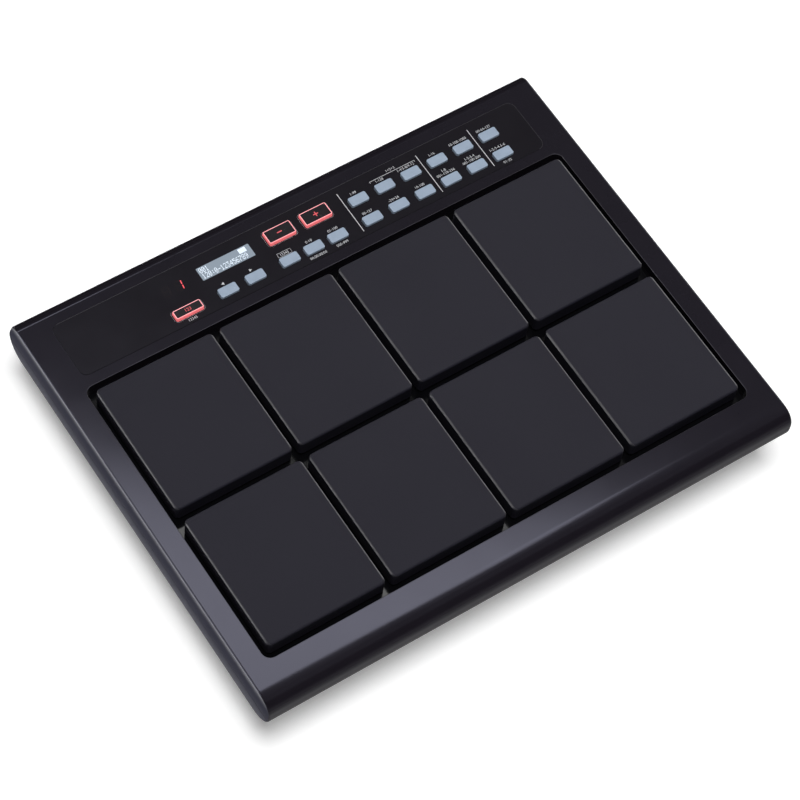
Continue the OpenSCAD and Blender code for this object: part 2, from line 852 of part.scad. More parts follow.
// Pin in the middle of the power socket
module power_pin() {
    pin_r = 1;
    color("#b8bbc0")
    translate([power_x, 0, main_board_top + power_size[2] / 2])
        bar(pin_r, tray_back + cut - power_hole_l, tray_back - cut);
}

// Switch on the main board, with a square well for the power button's stem
module power_switch() {
    face = panel_in - slip - switch_travel;
    well = stem_w + 2 * slip;
    color("#333333")
    translate([switch_x, 0, 0])
        difference() {
            back_box(switch_size, face, main_board_top);
            back_box([well, 2 * switch_travel + 2 * slip + cut, well], face + cut,
                main_board_top + (switch_size[2] - well) / 2);
        }
}

// Square push button through the rear panel
module power_button() {
    face = panel_in - slip - switch_travel;
    color("#1a1a1c")
    translate([switch_x, 0, 0]) {
        back_box([button_w, sheet_t + button_out, button_w], tray_back + button_out,
            main_board_top + (switch_size[2] - button_w) / 2);
        back_box([stem_w, 2 * switch_travel + slip + cut, stem_w], panel_in + cut,
            main_board_top + (switch_size[2] - stem_w) / 2);
    }
}

// Potentiometer on the main board, with its nose through the rear panel
module volume_pot() {
    color("#8d9096")
    translate([volume_x, 0, 0])
        difference() {
            union() {
                back_box(volume_size, panel_in, main_board_top);
                translate([0, 0, main_board_top + volume_size[2] / 2])
                    bar(volume_nose_r, panel_in - cut, tray_back + volume_nose_l);
            }
            translate([0, 0, main_board_top + volume_size[2] / 2])
                bar(volume_shaft_r, tray_back + volume_nose_l - volume_shaft_l, tray_back + volume_nose_l + cut);
        }
}

// Knob with its shaft, grooved for grip, with a pointer slot
module volume_knob() {
    foot = tray_back + volume_nose_l + volume_gap;
    grooves = 18;
    groove_r = 0.8;
    color("#1a1a1c")
    translate([volume_x, 0, main_board_top + volume_size[2] / 2])
        difference() {
            union() {
                bar(volume_d / 2, foot, foot + volume_l);
                bar(volume_shaft_r - 2 * seat_gap, foot - volume_shaft_l, foot + cut);
            }
            for (i = [1:grooves - 1])
                rotate([0, i * 360 / grooves, 0])
                    translate([0, 0, volume_d / 2 + groove_r / 4])
                        bar(groove_r, foot + 2 * cut, foot + volume_l + cut);
            translate([-0.5, foot + volume_l - 0.5, volume_d / 6])
                cube([1, cut, volume_d / 2]);
        }
}

// Threaded bushes in the tray's floor for a stand plate
module stand_inserts() {
    color("#c9ccd1")
    difference() {
        union() {
            pins(MOUNTS, insert_r, foot_h, foot_h + insert_h);
            pins(MOUNTS, insert_r + 2, tray_floor, tray_floor + sheet_t);
        }
        pins(MOUNTS, mount_hole_d / 2, foot_h - cut, foot_h + insert_h + cut);
    }
}

// Feet stuck under the corners of the tray
module rubber_feet() {
    color("#151517")
    for (x = [-1, 1], y = [tray_front + foot_inset, tray_back - foot_inset])
        translate([x * (tray_w / 2 - foot_inset), y, 0])
            cylinder(r1 = foot_d / 2 - 1, r2 = foot_d / 2, h = foot_h);
}

// Screw with its seat at the origin, head below and shank above
module screw(l) {
    translate([0, 0, -head_h])
        cylinder(r = head_d / 2, h = head_h);
    translate([0, 0, -head_h / 2])
        cylinder(r = screw_d / 2, h = l + head_h / 2);
}

// Long screws that clamp the shells and the bed together
module case_screws() {
    color("#55585d")
    for (p = concat(SIDE_SCREWS, END_SCREWS))
        translate([p[0], p[1], screw_seat])
            screw(case_screw_l);
}

// Short screws of the tray flange, the rear panel and both boards
module small_screws() {
    color("#55585d") {
        for (p = FLANGE_SCREWS)
            translate([p[0], p[1], flange_low])
                screw(small_screw_l);
        for (p = REAR_SCREWS)
            translate([p[0], p[1], foot_h])
                screw(small_screw_l);
        for (p = PANEL_SCREWS)
            translate([p[0], p[1], panel_board_low])
                screw(small_screw_l);
        for (p = STANDOFFS)
            translate([p[0], p[1], main_board_top])
                rotate([180, 0, 0])
                    screw(small_screw_l);
    }
}

top_cover();
lower_case();
base_tray();
rear_panel();
control_overlay();
pad_bed();
pad_plates();
pad_cushions();
trigger_sensors();
panel_board();
tact_switches();
display_module();
digit_module();
main_board();
panel_ribbon();
phone_jacks();
jack_nuts();
data_sockets();
data_cores();
data_port();
power_socket();
power_pin();
power_switch();
power_button();
volume_pot();
volume_knob();
stand_inserts();
rubber_feet();
case_screws();
small_screws();
for (k = [0:pad_count - 1])
    pad(k);
for (k = [0:len(KEYS) - 1])
    key(k);
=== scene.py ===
"""Looks of an electronic percussion pad: eight rubber pads sunk in a flat black case, a strip of buttons
and displays along the back, and sockets under the rear overhang. Lengths are in millimetres until they
go into a mesh, which is in metres."""

import bmesh
import bpy
import numpy as np
from mathutils import Matrix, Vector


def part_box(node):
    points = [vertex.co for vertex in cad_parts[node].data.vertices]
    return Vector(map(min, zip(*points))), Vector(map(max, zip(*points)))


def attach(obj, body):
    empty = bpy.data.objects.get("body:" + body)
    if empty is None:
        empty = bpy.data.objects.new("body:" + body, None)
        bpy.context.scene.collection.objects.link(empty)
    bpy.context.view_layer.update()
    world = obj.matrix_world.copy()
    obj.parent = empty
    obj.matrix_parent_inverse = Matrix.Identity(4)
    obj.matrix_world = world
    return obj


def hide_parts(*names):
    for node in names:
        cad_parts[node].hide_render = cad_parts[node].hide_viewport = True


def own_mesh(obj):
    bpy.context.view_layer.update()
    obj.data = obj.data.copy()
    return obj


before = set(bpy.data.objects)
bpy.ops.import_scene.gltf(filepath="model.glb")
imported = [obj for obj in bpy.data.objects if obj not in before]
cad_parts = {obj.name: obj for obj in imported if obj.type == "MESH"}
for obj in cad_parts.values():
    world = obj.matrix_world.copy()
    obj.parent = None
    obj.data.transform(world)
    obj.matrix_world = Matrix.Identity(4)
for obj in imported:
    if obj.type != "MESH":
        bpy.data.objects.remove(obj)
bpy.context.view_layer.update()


# Base tray: one steel sheet folded up on three sides, with a flange outside that is screwed up into the
# lower case. The bends are round, and the sheet is powder coated black once it is folded.


def box_mm(node):
    """Lowest and highest corner of a CAD node, in millimetres."""
    return [1000 * np.array(corner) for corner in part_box(node)]


def rounded_loop(width, depth, radius, level, centre=(0, 0), arc=6):
    """Level loop round a rounded rectangle: each corner's centre plus the radius through a quarter turn."""
    turn = np.linspace(0, np.pi / 2, arc + 1)
    angle = (turn + np.arange(4)[:, None] * np.pi / 2).ravel()
    side = np.repeat([[1, 1], [-1, 1], [-1, -1], [1, -1]], arc + 1, axis=0)
    flat = np.array(centre) + side * (np.array([width, depth]) / 2 - radius)
    flat = flat + radius * np.stack([np.cos(angle), np.sin(angle)], axis=1)
    return np.column_stack([flat, np.full(len(flat), float(level))])


def loft(loops, closed=False):
    """Skin through a stack of loops of equal count: a quad between each two neighbours on each two loops,
    with a flat cap on the first and the last, or the last joined to the first when closed."""
    loops = np.asarray(loops, float)
    count, around, _ = loops.shape
    here = np.arange(around)
    after = np.roll(here, -1)
    row = np.arange(count if closed else count - 1)[:, None]
    low = row * around
    high = (row + 1) % count * around
    quads = np.stack([low + here, low + after, high + after, high + here], axis=-1).reshape(-1, 4).tolist()
    caps = [] if closed else [here[::-1].tolist(), (here + (count - 1) * around).tolist()]
    return loops.reshape(-1, 3), quads + caps


def moulding(width, depth, radius, profile, centre=(0, 0), closed=False):
    """Skin of a profile carried round a rounded rectangle: each row of the profile says how far the loop is
    drawn in from the outline and at which level it runs. The corner radius shrinks with the inset."""
    return loft([rounded_loop(width - 2 * inset, depth - 2 * inset, max(radius - inset, 0.1), level, centre)
                 for inset, level in profile], closed)


def bend(inset, level, radius, start, end, steps=5):
    """Profile rows on an arc: the inset and level of its centre plus the radius turned from the start to
    the end angle in degrees, where 0 points into the outline and 90 points up."""
    turn = np.radians(np.linspace(start, end, steps + 1))
    return np.column_stack([inset + radius * np.cos(turn), level + radius * np.sin(turn)]).tolist()


def turned(profile, centre=(0, 0), closed=False, count=48):
    """Skin of a profile of radius and level turned about an upright axis. A radius may vary as it turns."""
    angle = np.arange(count) * 2 * np.pi / count
    return loft([np.column_stack([centre[0] + radius * np.cos(angle), centre[1] + radius * np.sin(angle),
                                  np.full(count, float(level))]) for radius, level in profile], closed)


def rod(radius, low, high, count=24):
    """Plain round bar between two levels, to add or to cut with."""
    return turned([(radius, low), (radius, high)], count=count)


def plate(ring, low, high):
    """Flat solid between two levels, with a ring of points as its outline."""
    return loft([np.column_stack([ring, np.full(len(ring), float(level))]) for level in (low, high)])


def block(low, high):
    """Plain box between two corners, to cut with."""
    low = np.array(low, float)
    high = np.array(high, float)
    ring = low[:2] + np.array([[0, 0], [1, 0], [1, 1], [0, 1]]) * (high - low)[:2]
    return plate(ring, low[2], high[2])


def joined(*skins):
    """Several skins as one: the points in a row, and each face's numbers moved on by the points before it."""
    starts = np.cumsum([0] + [len(points) for points, _ in skins])
    faces = [[start + k for k in face] for start, (_, some) in zip(starts.tolist(), skins) for face in some]
    return np.concatenate([points for points, _ in skins]), faces


def repeated(skin, places):
    """The same skin once at every place."""
    return joined(*[(skin[0] + np.array(place, float), skin[1]) for place in places])


def shown(name, data):
    """New object in the scene for a mesh, a text, a lamp or a camera."""
    shape = bpy.data.objects.new(name, data)
    bpy.context.scene.collection.objects.link(shape)
    return shape


def settled(shape):
    """New mesh of an object as it is shown, with its modifiers or its letters worked out."""
    return bpy.data.meshes.new_from_object(shape.evaluated_get(bpy.context.evaluated_depsgraph_get()))


def form(name, skin):
    """New object from a skin, its points welded where they meet."""
    mesh = bpy.data.meshes.new(name)
    mesh.from_pydata((skin[0] / 1000).tolist(), [], skin[1])
    weld = bmesh.new()
    weld.from_mesh(mesh)
    bmesh.ops.remove_doubles(weld, verts=weld.verts, dist=1e-7)
    weld.to_mesh(mesh)
    weld.free()
    return shown(name, mesh)


def carve(shape, skin, operation="DIFFERENCE"):
    """Take a skin's solid away from an object, or join it, or keep the overlap, by an applied boolean."""
    tool = form("tool", skin)
    change = shape.modifiers.new("carve", "BOOLEAN")
    change.operation = operation
    change.solver = "MANIFOLD"
    change.object = tool
    worn = shape.data
    shape.data = settled(shape)
    shape.modifiers.clear()
    bpy.data.meshes.remove(worn)
    bpy.data.meshes.remove(tool.data)
    return shape


def srgb(code):
    """Linear colour of an sRGB hex value, with full alpha."""
    part = np.array([int(code[i:i + 2], 16) for i in (1, 3, 5)]) / 255
    return (*np.where(part <= 0.04045, part / 12.92, ((part + 0.055) / 1.055) ** 2.4).tolist(), 1.0)


def add(tree, kind, settings, links):
    """Add one node: each setting goes to its property or input of that name, and each link joins an input."""
    node = tree.nodes.new("ShaderNode" + kind)
    for key, value in settings.items():
        if isinstance(key, str) and hasattr(node, key):
            setattr(node, key, value)
        else:
            node.inputs[key].default_value = value
    for key, source in links.items():
        tree.links.new(source, node.inputs[key])
    return node


def ramp(tree, source, span, values, kind="LINEAR"):
    """Output that goes from a first value to a last one while a source goes along a span."""
    return add(tree, "MapRange", {"From Min": span[0], "From Max": span[1], "To Min": values[0],
                                  "To Max": values[1], "interpolation_type": kind},
               {"Value": source}).outputs[0]


def opened(material):
    """A material's node tree, its shader and its Object coordinates, to build on."""
    tree = material.node_tree
    return tree, tree.nodes["Principled BSDF"], add(tree, "TexCoord", {}, {}).outputs["Object"]


def grained(name, shades, rough, patch, grain, relief, shine=0.5, tint="#ffffff", metal=0.0,
            glow=("#ffffff", 0.0), stretch=(1, 1, 1)):
    """A coated, moulded or rolled finish: its colour drifts between two shades, and its roughness between
    two values, over patches of one size, and a finer grain stands up in relief. Sizes are in millimetres;
    stretch squeezes the patterns along each axis, so a line drawn along an axis has a small number there.
    Shine and its tint, metal and the colour and strength of a glow are the same all over."""
    material = bpy.data.materials.new(name)
    material.use_nodes = True
    tree, shader, place = opened(material)
    for socket, value in {"Specular IOR Level": shine, "Specular Tint": srgb(tint), "Metallic": metal,
                          "Emission Color": srgb(glow[0]), "Emission Strength": glow[1]}.items():
        shader.inputs[socket].default_value = value
    drawn = add(tree, "Mapping", {"Scale": stretch}, {"Vector": place})
    drift = add(tree, "TexNoise", {"Scale": 1000 / patch, "Detail": 4.0}, {"Vector": drawn.outputs[0]})
    spread = ramp(tree, drift.outputs[0], (0.3, 0.7), (0, 1))
    shade = add(tree, "Mix", {"data_type": "RGBA", 6: srgb(shades[0]), 7: srgb(shades[1])}, {0: spread})
    gloss = ramp(tree, spread, (0, 1), rough)
    speck = add(tree, "TexNoise", {"Scale": 1000 / grain, "Detail": 2.0}, {"Vector": drawn.outputs[0]})
    raised = add(tree, "Bump", {"Distance": relief / 1000}, {"Height": speck.outputs[0]})
    tree.links.new(shade.outputs[2], shader.inputs["Base Color"])
    tree.links.new(gloss, shader.inputs["Roughness"])
    tree.links.new(raised.outputs[0], shader.inputs["Normal"])
    return material


def dress(shape, material, body="case", node=None):
    """Finish a piece: its material, smooth shading that breaks at the edges, the body that it rides on, and
    the
    CAD node that it stands for, which is hidden."""
    shape.data.materials.clear()
    shape.data.materials.append(material)
    shape.data.shade_smooth()
    shape.data.set_sharp_from_angle(angle=np.radians(35))
    flat = shape.modifiers.new("flat faces lead", "WEIGHTED_NORMAL")
    flat.keep_sharp = True
    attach(shape, body)
    if node:
        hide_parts(node)
    return shape


sheet = 1.5
flange = 9
tray_bend = 2.5
fold = tray_bend - sheet
tray_low, tray_high = box_mm("base_tray")
tray_front = tray_low[1] + flange
tray_back = tray_high[1]
tray_half = tray_high[0] - flange
flange_low = tray_high[2] - sheet
tray_floor = tray_low[2] + sheet
behind = 40
screw_hole = 1.7
thread_r = 1.55
boss_r = 3.5
stand_half = 37.5
recess_y = -18.9
insert_r = 4
stand_places = [(x, recess_y + y, 0) for x in (-stand_half, stand_half) for y in (-stand_half, stand_half)]
flange_places = [(x, y, 0) for x in (-162.5, 162.5) for y in (-66.47, 11, 88.47)]
flange_places += [(x, -109.7, 0) for x in (-105.33, 0, 105.33)]
rear_places = [(x, 120.7, 0) for x in (-100, 0, 100)]
standoff_places = [(x, y, 0) for x in (-144, 0, 144) for y in (45.7, 85.7)]
board_low, board_top = [corner[2] for corner in box_mm("main_board")]

tray = form("base_tray_sheet", moulding(2 * tray_half, tray_back + behind - tray_front, tray_bend, [
    *bend(tray_bend, tray_low[2] + tray_bend, tray_bend, 270, 180),
    *bend(-fold, flange_low - fold, fold, 0, 90),
    (-flange, flange_low),
    (-flange, tray_high[2]),
    *bend(-fold, flange_low - fold, tray_bend, 90, 0),
    *bend(tray_bend, tray_floor + fold, fold, 180, 270),
], (0, (tray_front + tray_back + behind) / 2)))
carve(tray, block((-200, tray_back, -10), (200, tray_back + 3 * behind, 50)))
carve(tray, joined(
    repeated(rod(screw_hole, 20, 40), flange_places),
    repeated(rod(screw_hole, -5, 9), rear_places),
    repeated(rod(insert_r + 0.05, -5, 9, 48), stand_places)))
carve(tray, repeated(rod(boss_r, tray_floor - 0.5, board_low, 48), standoff_places), "UNION")
carve(tray, repeated(rod(thread_r, tray_floor + 1, 20), standoff_places))

# Powder coat on steel: a cured film with a very fine orange peel, which breaks the gloss into soft points.
powder_coat = grained("powder-coated steel", ("#141416", "#1a1a1d"), (0.42, 0.55), 14, 0.8, 0.03)
dress(tray, powder_coat, node="base_tray")


# Rubber feet: four moulded rubber bumpers on the tray's floor, each with a hollow in its sole and a small
# taper, bonded to the steel.
foot_r = 10
feet_low, feet_high = box_mm("rubber_feet")
foot_x = feet_high[0] - foot_r
foot_y = [feet_low[1] + foot_r, feet_high[1] - foot_r]
foot = turned([(4.2, 0.7), (4.8, 0.1), (5.2, 0), (8.2, 0), (8.75, 0.25), (9.05, 0.8), (9.8, 3.6),
               (9.7, tray_low[2])])
feet = form("rubber_feet_set", repeated(foot, [(x, y, 0) for x in (-foot_x, foot_x) for y in foot_y]))
# Moulded rubber: matt and almost black, with a bloom that lightens it in patches.
foot_rubber = grained("moulded foot rubber", ("#161617", "#1f1f20"), (0.7, 0.85), 6, 0.9, 0.04, shine=0.3)
dress(feet, foot_rubber, node="rubber_feet")


# Stand inserts: four brass sleeves, nickel plated and pressed into the tray's floor, with an M5 thread for a
# stand plate. The thread is a wave that climbs with the angle.
thread_pitch = 0.8
thread_deep = 0.14
insert_low, insert_high = box_mm("stand_inserts")
around = np.arange(48) * 2 * np.pi / 48
bore = [(2.42 + thread_deep * np.cos(2 * np.pi * level / thread_pitch - around), level)
        for level in np.arange(insert_high[2] - 0.5, insert_low[2] + 0.4, -thread_pitch / 6)]
sleeve = turned([(2.8, insert_low[2]), (insert_r - 0.3, insert_low[2]), (insert_r, insert_low[2] + 0.3),
                 (insert_r, tray_floor), (insert_r + 2, tray_floor), (insert_r + 2, tray_floor + sheet),
                 (insert_r, tray_floor + sheet), (insert_r, insert_high[2] - 0.3),
                 (insert_r - 0.3, insert_high[2]), (2.8, insert_high[2]), *bore], closed=True)
inserts = form("stand_insert_set", repeated(sleeve, stand_places))
# Nickel plate: a warm pale metal, a little cloudy from the plating bath.
nickel = grained("nickel plate", ("#b9b7b2", "#cfcdc8"), (0.2, 0.34), 3, 0.5, 0.004, metal=1.0)
dress(inserts, nickel, node="stand_inserts")


# Main board and ribbon: a glass-fibre board on six posts of the tray, with tracks under green mask, and a
# flat grey cable from it up to the panel board.


def paint(material, *nodes):
    """Give CAD nodes whose shape is right a better finish, in the slots that they have."""
    for node in nodes:
        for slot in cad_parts[node].material_slots:
            slot.material = material


# Solder mask over copper: glossy green, lighter where a track runs below it.
mask_shades = ("#14532d", "#186034")
track_pitch = 9
solder_mask = grained("solder mask", mask_shades, (0.25, 0.4), 9, 1.2, 0.01)
tree, shader, place = opened(solder_mask)
shader.inputs["Coat Weight"].default_value = 0.2
tracks = add(tree, "TexBrick", {
    "Scale": 1000 / track_pitch, "Mortar Size": 0.03, "Color1": srgb(mask_shades[0]),
    "Color2": srgb(mask_shades[1]), "Mortar": srgb("#2c8a4f")}, {"Vector": place})
tree.links.new(tracks.outputs["Color"], shader.inputs["Base Color"])
paint(solder_mask, "main_board", "panel_board")
# Flat cable: soft grey vinyl with a rib over each wire, 1.27 mm apart.
ribbon_pitch = 1.27
cable_vinyl = grained("flat cable vinyl", ("#8f9296", "#9da0a4"), (0.45, 0.6), 5, 0.8, 0.01)
tree, shader, place = opened(cable_vinyl)
wires = add(tree, "TexWave", {"bands_direction": "X", "Scale": 1000 * np.pi / 10 / ribbon_pitch},
            {"Vector": place})
ribs = add(tree, "Bump", {"Distance": 0.0003}, {"Height": wires.outputs["Fac"]})
tree.links.new(ribs.outputs[0], shader.inputs["Normal"])
paint(cable_vinyl, "panel_ribbon")


# Phone jacks: eight moulded sockets on the main board. Each has a threaded sleeve that comes out through the
# rear panel, with a bore for a 6.35 mm plug. The thread is a wave that climbs with the angle.


def facing_back(skin, place):
    """Turn a skin made about an upright axis so that its axis points to the back, and put it at a place."""
    points, faces = skin
    return np.column_stack([points[:, 0], points[:, 2], -points[:, 1]]) + np.array(place, float), faces


def middle_mm(node):
    """Middle of a CAD node, in millimetres."""
    return sum(box_mm(node)) / 2


def ring(radius, level):
    """Level loop round a circle, with the points of a jack's rounded rectangle."""
    return rounded_loop(2 * radius, 2 * radius, radius, level, arc=jack_arc)


jack_arc = 12
jack_w = 11
jack_h = 12
jack_pitch = 22.5
bore_l = 28
jack_x = [-114 + jack_pitch * i for i in range(8)]
jack_low, jack_high = box_mm("phone_jacks")
jack_z = middle_mm("phone_jacks")[2]
panel_in = tray_back - sheet
sleeve_r = 4.4
sleeve_pitch = 0.75
bore_r = 3.25
corner_turn = (np.linspace(0, np.pi / 2, jack_arc + 1) + np.arange(4)[:, None] * np.pi / 2).ravel()
loops = [rounded_loop(jack_w - 0.8, jack_h - 0.8, 0.6, jack_low[1], arc=jack_arc),
         rounded_loop(jack_w, jack_h, 1, jack_low[1] + 0.4, arc=jack_arc),
         rounded_loop(jack_w, jack_h, 1, panel_in, arc=jack_arc),
         ring(sleeve_r, panel_in)]
for level in np.arange(panel_in + 0.3, jack_high[1] - 0.5, sleeve_pitch / 6):
    thread = ring(1, level)
    wave = np.cos(2 * np.pi * level / sleeve_pitch - corner_turn)
    thread[:, :2] *= (sleeve_r - thread_deep + thread_deep * wave)[:, None]
    loops.append(thread)
loops += [ring(radius, jack_high[1] - depth) for radius, depth in [
    (sleeve_r - 0.2, 0.4), (sleeve_r - 0.5, 0.05), (sleeve_r - 0.65, 0), (bore_r + 0.45, 0), (bore_r, 0.5),
    (bore_r, bore_l)]]
jack = facing_back(loft(loops), (0, 0, jack_z))
jacks = form("phone_jack_set", repeated(jack, [(x, 0, 0) for x in jack_x]))
# Glass-filled nylon: black, with a dry moulded skin.
socket_nylon = grained("moulded socket nylon", ("#17171a", "#1f1f22"), (0.4, 0.55), 4, 0.5, 0.015)
dress(jacks, socket_nylon, node="phone_jacks")
paint(socket_nylon, "data_sockets", "data_cores", "power_socket")
paint(nickel, "data_port", "power_pin", "volume_pot")


# Rear panel and its print: a steel plate across the back of the tray, punched for the sockets, with plain
# pale marks over them. The marks are thin ink solids that lie on the plate.
ink = 0.03


def stroke(start, end, width):
    """Straight inked line from one point to another: the two ends moved half the width to each side."""
    start = np.array(start, float)
    end = np.array(end, float)
    along = (end - start) / np.linalg.norm(end - start)
    aside = np.array([-along[1], along[0]]) * width / 2
    return plate(np.array([start - aside, end - aside, end + aside, start + aside]), 0, ink)


def arrow(centre, size, heading):
    """Inked triangle that points along a heading in degrees: three points a third of a turn apart."""
    turn = np.radians(heading + np.array([0, 120, 240]))
    return plate(np.array(centre) + size * np.column_stack([np.cos(turn), np.sin(turn)]), 0, ink)


def hoop(centre, radius, width):
    """Inked circle line: a flat square section turned about the centre."""
    inner = radius - width
    return turned([(inner, 0), (radius, 0), (radius, ink), (inner, ink)], centre, closed=True)


def skin_of(mesh):
    """Points in millimetres and faces of a mesh, to place or cut with."""
    flat = np.empty(len(mesh.vertices) * 3, np.float32)
    mesh.vertices.foreach_get("co", flat)
    return 1000 * flat.reshape(-1, 3).astype(float), [list(face.vertices) for face in mesh.polygons]


def figures(words, height, centre):
    """Inked figures: a text curve made a mesh, scaled to a height, its middle put on a centre."""
    curve = bpy.data.curves.new("figures", "FONT")
    curve.body = words
    curve.resolution_u = 3
    curve.extrude = 0.5
    text = shown("figures", curve)
    mesh = settled(text)
    points, faces = skin_of(mesh)
    bpy.data.objects.remove(text)
    bpy.data.curves.remove(curve)
    bpy.data.meshes.remove(mesh)
    low = points.min(axis=0)
    high = points.max(axis=0)
    scale = height / (high[1] - low[1])
    points[:, :2] = (points[:, :2] - (low + high)[:2] / 2) * scale + np.array(centre)
    points[:, 2] = np.where(points[:, 2] > 0, ink, 0)
    return points, faces


def on_back(skin):
    """Turn marks drawn in a flat plane so that they read from behind on the rear panel."""
    points, faces = skin
    return np.column_stack([-points[:, 0], tray_back + points[:, 2], points[:, 1]]), faces


mark_z = 28
power_mark = np.array([-127, 26.5])
switch_mark = np.array([-143, 26.2])
thin = 0.35
knob_low, knob_high = box_mm("volume_knob")
knob_x, _, knob_z = middle_mm("volume_knob")
dial = np.radians(np.linspace(-150, 150, 11))
tick_ends = (9, 10.6)
marks = [figures(str(i + 1), 2.4, (-x, mark_z)) for i, x in enumerate(jack_x)]
marks += [stroke(*[(-knob_x + r * np.sin(t), knob_z + r * np.cos(t)) for r in tick_ends], 0.4) for t in dial]
marks += [arrow((-68, mark_z + 1.6), 1.3, -90), arrow((-92, mark_z + 1.6), 1.3, 90)]
marks += [hoop(power_mark, 1.5, thin), turned([(0.5, 0), (0.5, ink)], power_mark, count=24)]
marks += [stroke(power_mark + start, power_mark + end, thin)
          for start, end in [((-4.3, 0), (-2.3, 0)), ((2.3, 0), (4.3, 0)), ((3.3, -1), (3.3, 1))]]
marks += [hoop(switch_mark, 1.6, thin), stroke(switch_mark + (0, 0.2), switch_mark + (0, 2.2), 0.4)]
paint(powder_coat, "rear_panel")
# Screen ink: a thin matt pale grey film, a little uneven.
pale_ink = grained("pale screen ink", ("#cfd0d5", "#dcdde1"), (0.5, 0.65), 2, 0.4, 0.005)
dress(form("rear_marks", on_back(joined(*marks))), pale_ink)


# Jack nuts: a plated hexagon nut on each sleeve, which clamps it to the rear panel. The hexagon is half the
# flats over the cosine of the angle from the nearest flat, cut back by a cone on the outer face.
nut_flats = 12
nut_low, nut_high = box_mm("jack_nuts")
angle = np.arange(96) * 2 * np.pi / 96
hexagon = nut_flats / 2 / np.cos((angle + np.pi / 6) % (np.pi / 3) - np.pi / 6)
nut = turned([(sleeve_r + 0.05, nut_low[1]), (np.minimum(hexagon, 6.6), nut_low[1]),
              (np.minimum(hexagon, 6.9), nut_low[1] + 0.2), (np.minimum(hexagon, 6.9), nut_high[1] - 0.5),
              (np.minimum(hexagon, 6.5), nut_high[1] - 0.2), (np.minimum(hexagon, 6.05), nut_high[1]),
              (sleeve_r + 0.4, nut_high[1]), (sleeve_r + 0.05, nut_high[1] - 0.35)], closed=True, count=96)
nuts = form("jack_nut_set", repeated(facing_back(nut, (0, 0, jack_z)), [(x, 0, 0) for x in jack_x]))
dress(nuts, nickel, node="jack_nuts")


# Volume knob: a moulded cap with eighteen grip grooves and a white pointer line, pushed on the shaft of the
# potentiometer. The grooves are a clipped cosine of the angle taken off the radius.
knob_r = 7.5
knob_foot = 131.7
grooves = 18
knob_top = knob_high[1]
angle = np.arange(216) * 2 * np.pi / 216
grip = knob_r - 0.5 * np.clip((np.cos(grooves * angle) - 0.25) / 0.6, 0, 1)
knob = turned([(2.4, knob_low[1]), (2.85, knob_low[1] + 0.5), (2.85, knob_foot), (6.6, knob_foot),
               (grip - 0.3, knob_foot + 0.1), (grip, knob_foot + 0.5), (grip, knob_top - 1.3),
               (np.minimum(grip, 7.35), knob_top - 0.7), (np.minimum(grip, 7.0), knob_top - 0.25),
               (6.5, knob_top), (5.6, knob_top), (5.3, knob_top - 0.3), (0.6, knob_top - 0.3)], count=216)
# Moulded ABS: black with a satin skin.
knob_plastic = grained("moulded knob plastic", ("#18181a", "#1e1e20"), (0.38, 0.5), 4, 0.5, 0.012)
dress(form("volume_knob_cap", facing_back(knob, (knob_x, 0, knob_z))), knob_plastic,
      "volume_knob", "volume_knob")
pointer = moulding(0.9, 3.6, 0.2, [(0, knob_top - 0.5), (0, knob_top - 0.12), (0.1, knob_top - 0.02)],
                   (0, -4.6))
dress(form("volume_pointer", facing_back(pointer, (knob_x, 0, knob_z))), pale_ink,
      "volume_knob")


# Power button: a square moulded cap on the plunger of the power switch, with round edges and a shallow dish
# for the finger.
cap_low, cap_high = box_mm("power_button")
cap_w = cap_high[0] - cap_low[0]
stem_w = 4
rows = [(0, panel_in), *bend(0.6, cap_high[1] - 0.6, 0.6, 180, 90), (1.4, cap_high[1] - 0.12),
        (2.6, cap_high[1] - 0.25)]
loops = [rounded_loop(stem_w, stem_w, 0.4, level) for level in (cap_low[1], panel_in)]
loops += [rounded_loop(cap_w - 2 * inset, cap_w - 2 * inset, max(0.9 - inset, 0.3), level)
          for inset, level in rows]
power_cap = facing_back(loft(loops), middle_mm("power_button") * (1, 0, 1))
dress(form("power_button_cap", power_cap), knob_plastic, "power_button", "power_button")
paint(socket_nylon, "power_switch")


# Lower case: the moulded shell under the seam. Its side outline has a quarter-round nose and heel, and it is
# carried across the width with slightly round ends. Pillars inside take the case screws from below.
wall = 2.5
(_, front, seam), (case_half, back, top) = box_mm("top_cover")
slab_low, bed_low = [corner[2] for corner in box_mm("lower_case")]
bed_top = 53
recess_w = 336
recess_d = 201.2
recess_r = 5.5
heel_r = 14
nose_r = 16
side_places = [(x, recess_y + y, 0) for x in (-175, 175) for y in (-86.6, 0, 86.6)]
end_places = [(x, y, 0) for x in (-140, 0, 140) for y in (-132.35, 135.7)]
screw_seat = 40
pillar_r = 4
pillar_low = 35.3
beyond = 300


